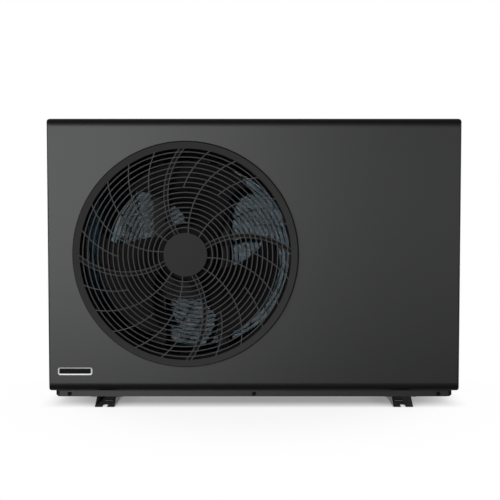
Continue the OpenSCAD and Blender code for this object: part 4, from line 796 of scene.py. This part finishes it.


# Floor: a pale, matt studio floor. The shadow under the unit is mostly painted: to the camera it glows a
# little where the sky is open to it and less under the unit, with a little real lamp shade on top, and it
# fades into a white surround away from the unit.
fade_from = 0.3
fade_to = 0.7
corner_reach = 0.042
least_glow = 0.16
open_glow = 0.70
floor = bmesh.new()
bmesh.ops.create_grid(floor, x_segments=1, y_segments=1, size=30)
floor_pale = bpy.data.materials.new("floor_pale")
floor_pale.use_nodes = True
tree = floor_pale.node_tree
tree.nodes.remove(tree.nodes["Principled BSDF"])
wires = Wire(tree)
place = wires.node("TexCoord", out="Object")
far = wires.node("VectorMath", {"operation": "LENGTH"}, {0: place}, "Value").step(fade_from, fade_to)
tint = place.noise(0.8).between((0.79, 0.79, 0.79), (0.81, 0.81, 0.81))
seen = wires.node("LightPath", out="Is Camera Ray")
# Painted shadow: the glow to the camera drops where nearby solids close off the sky, darkest under the unit.
open_sky = wires.node("AmbientOcclusion", {"samples": 16}, {"Distance": corner_reach}, "AO")
bright = seen * (least_glow + open_glow * open_sky)
glow = wires.node("Emission", None, {"Color": (1, 1, 1, 1), "Strength": bright})
near = wires.node("AddShader", None, {0: wires.node("BsdfDiffuse", None, {"Color": tint}), 1: glow})
white = wires.node("Emission", None, {"Color": (1, 1, 1, 1), "Strength": seen})
both = wires.node("MixShader", None, {0: far, 1: near, 2: white})
tree.links.new(both.socket, tree.nodes["Material Output"].inputs["Surface"])
floor_piece = as_piece(floor, "floor", [floor_pale])
floor_piece.visible_glossy = False
floor_piece.visible_diffuse = False
floor_piece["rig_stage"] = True


# Surround: white to the camera. To glossy and clear faces it is a dim studio with a brighter wall
# behind the unit, which the bends and the lid mirror.
room_dim = 0.02
wall_bright = 0.45
world = bpy.data.worlds.new("studio")
bpy.context.scene.world = world
world.use_nodes = True
tree = world.node_tree
wires = Wire(tree)
direction = wires.node("TexCoord", out="Generated")
backdrop = wires.node("SeparateXYZ", None, {0: direction}, "Y").step(0.3, 0.8)
seen = wires.node("LightPath", out="Is Camera Ray")
mirrored = wires.node("LightPath", out="Is Glossy Ray") + wires.node("LightPath", out="Is Transmission Ray")
strength = wires.maths("MAXIMUM", seen, room_dim + wall_bright * backdrop * mirrored)
sky = tree.nodes["Background"]
sky.inputs["Color"].default_value = (1, 1, 1, 1)
tree.links.new(strength.socket, sky.inputs["Strength"])


# Light: a broad soft box in front on the left and a weak one on the right, which the sheets mirror,
# two behind at the sides, and a narrow beam from the front that reaches the coil through the guard.
def soft_box(name, place, target, width, height, power):
    """Adds a rectangular lamp that faces a target."""
    lamp = bpy.data.lights.new(name, "AREA")
    lamp.shape = "RECTANGLE"
    lamp.size = width
    lamp.size_y = height
    lamp.energy = power
    box = bpy.data.objects.new(name, lamp)
    box.location = place
    box.rotation_euler = (Vector(target) - Vector(place)).to_track_quat("-Z", "Y").to_euler()
    bpy.context.scene.collection.objects.link(box)
    return box


soft_box("key", (-1.15, -2.8, 0.68), (-0.1, 0, 0.35), 2.6, 2.2, 36.5).visible_diffuse = False
soft_box("fill", (1.6, -2.8, 0.45), (0.2, 0, 0.35), 1.4, 1.4, 6.2).visible_diffuse = False
for side in (-1, 1):
    soft_box("side", (2.8 * side, 1.3, 0.75), (0, 0, 0.35), 2.4, 1.8, 26)
beam_way = Vector((0.019, 0.311, -0.021))
beam = bpy.data.lights.new("beam", "SUN")
beam.energy = 2.2
beam.angle = math.radians(0.12)
far_lamp = bpy.data.objects.new("beam", beam)
far_lamp.rotation_euler = beam_way.to_track_quat("-Z", "Y").to_euler()
far_lamp.visible_glossy = False
bpy.context.scene.collection.objects.link(far_lamp)


# Camera: at the photo's place, a little above the middle of the unit and looking slightly down.
# Its lens gives the photo's perspective and framing.
camera = bpy.data.cameras.new("camera")
camera.lens = 67.8
camera.sensor_width = 36
eye = bpy.data.objects.new("camera", camera)
eye.location = (-0.0088, -2.260, 0.443)
eye.rotation_euler = (math.radians(87.23), 0, 0)
bpy.context.scene.collection.objects.link(eye)
bpy.context.scene.camera = eye
bpy.context.scene.view_settings.view_transform = "Standard"


# Size: the box of the dressed part, in metres, measured here.
low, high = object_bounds()
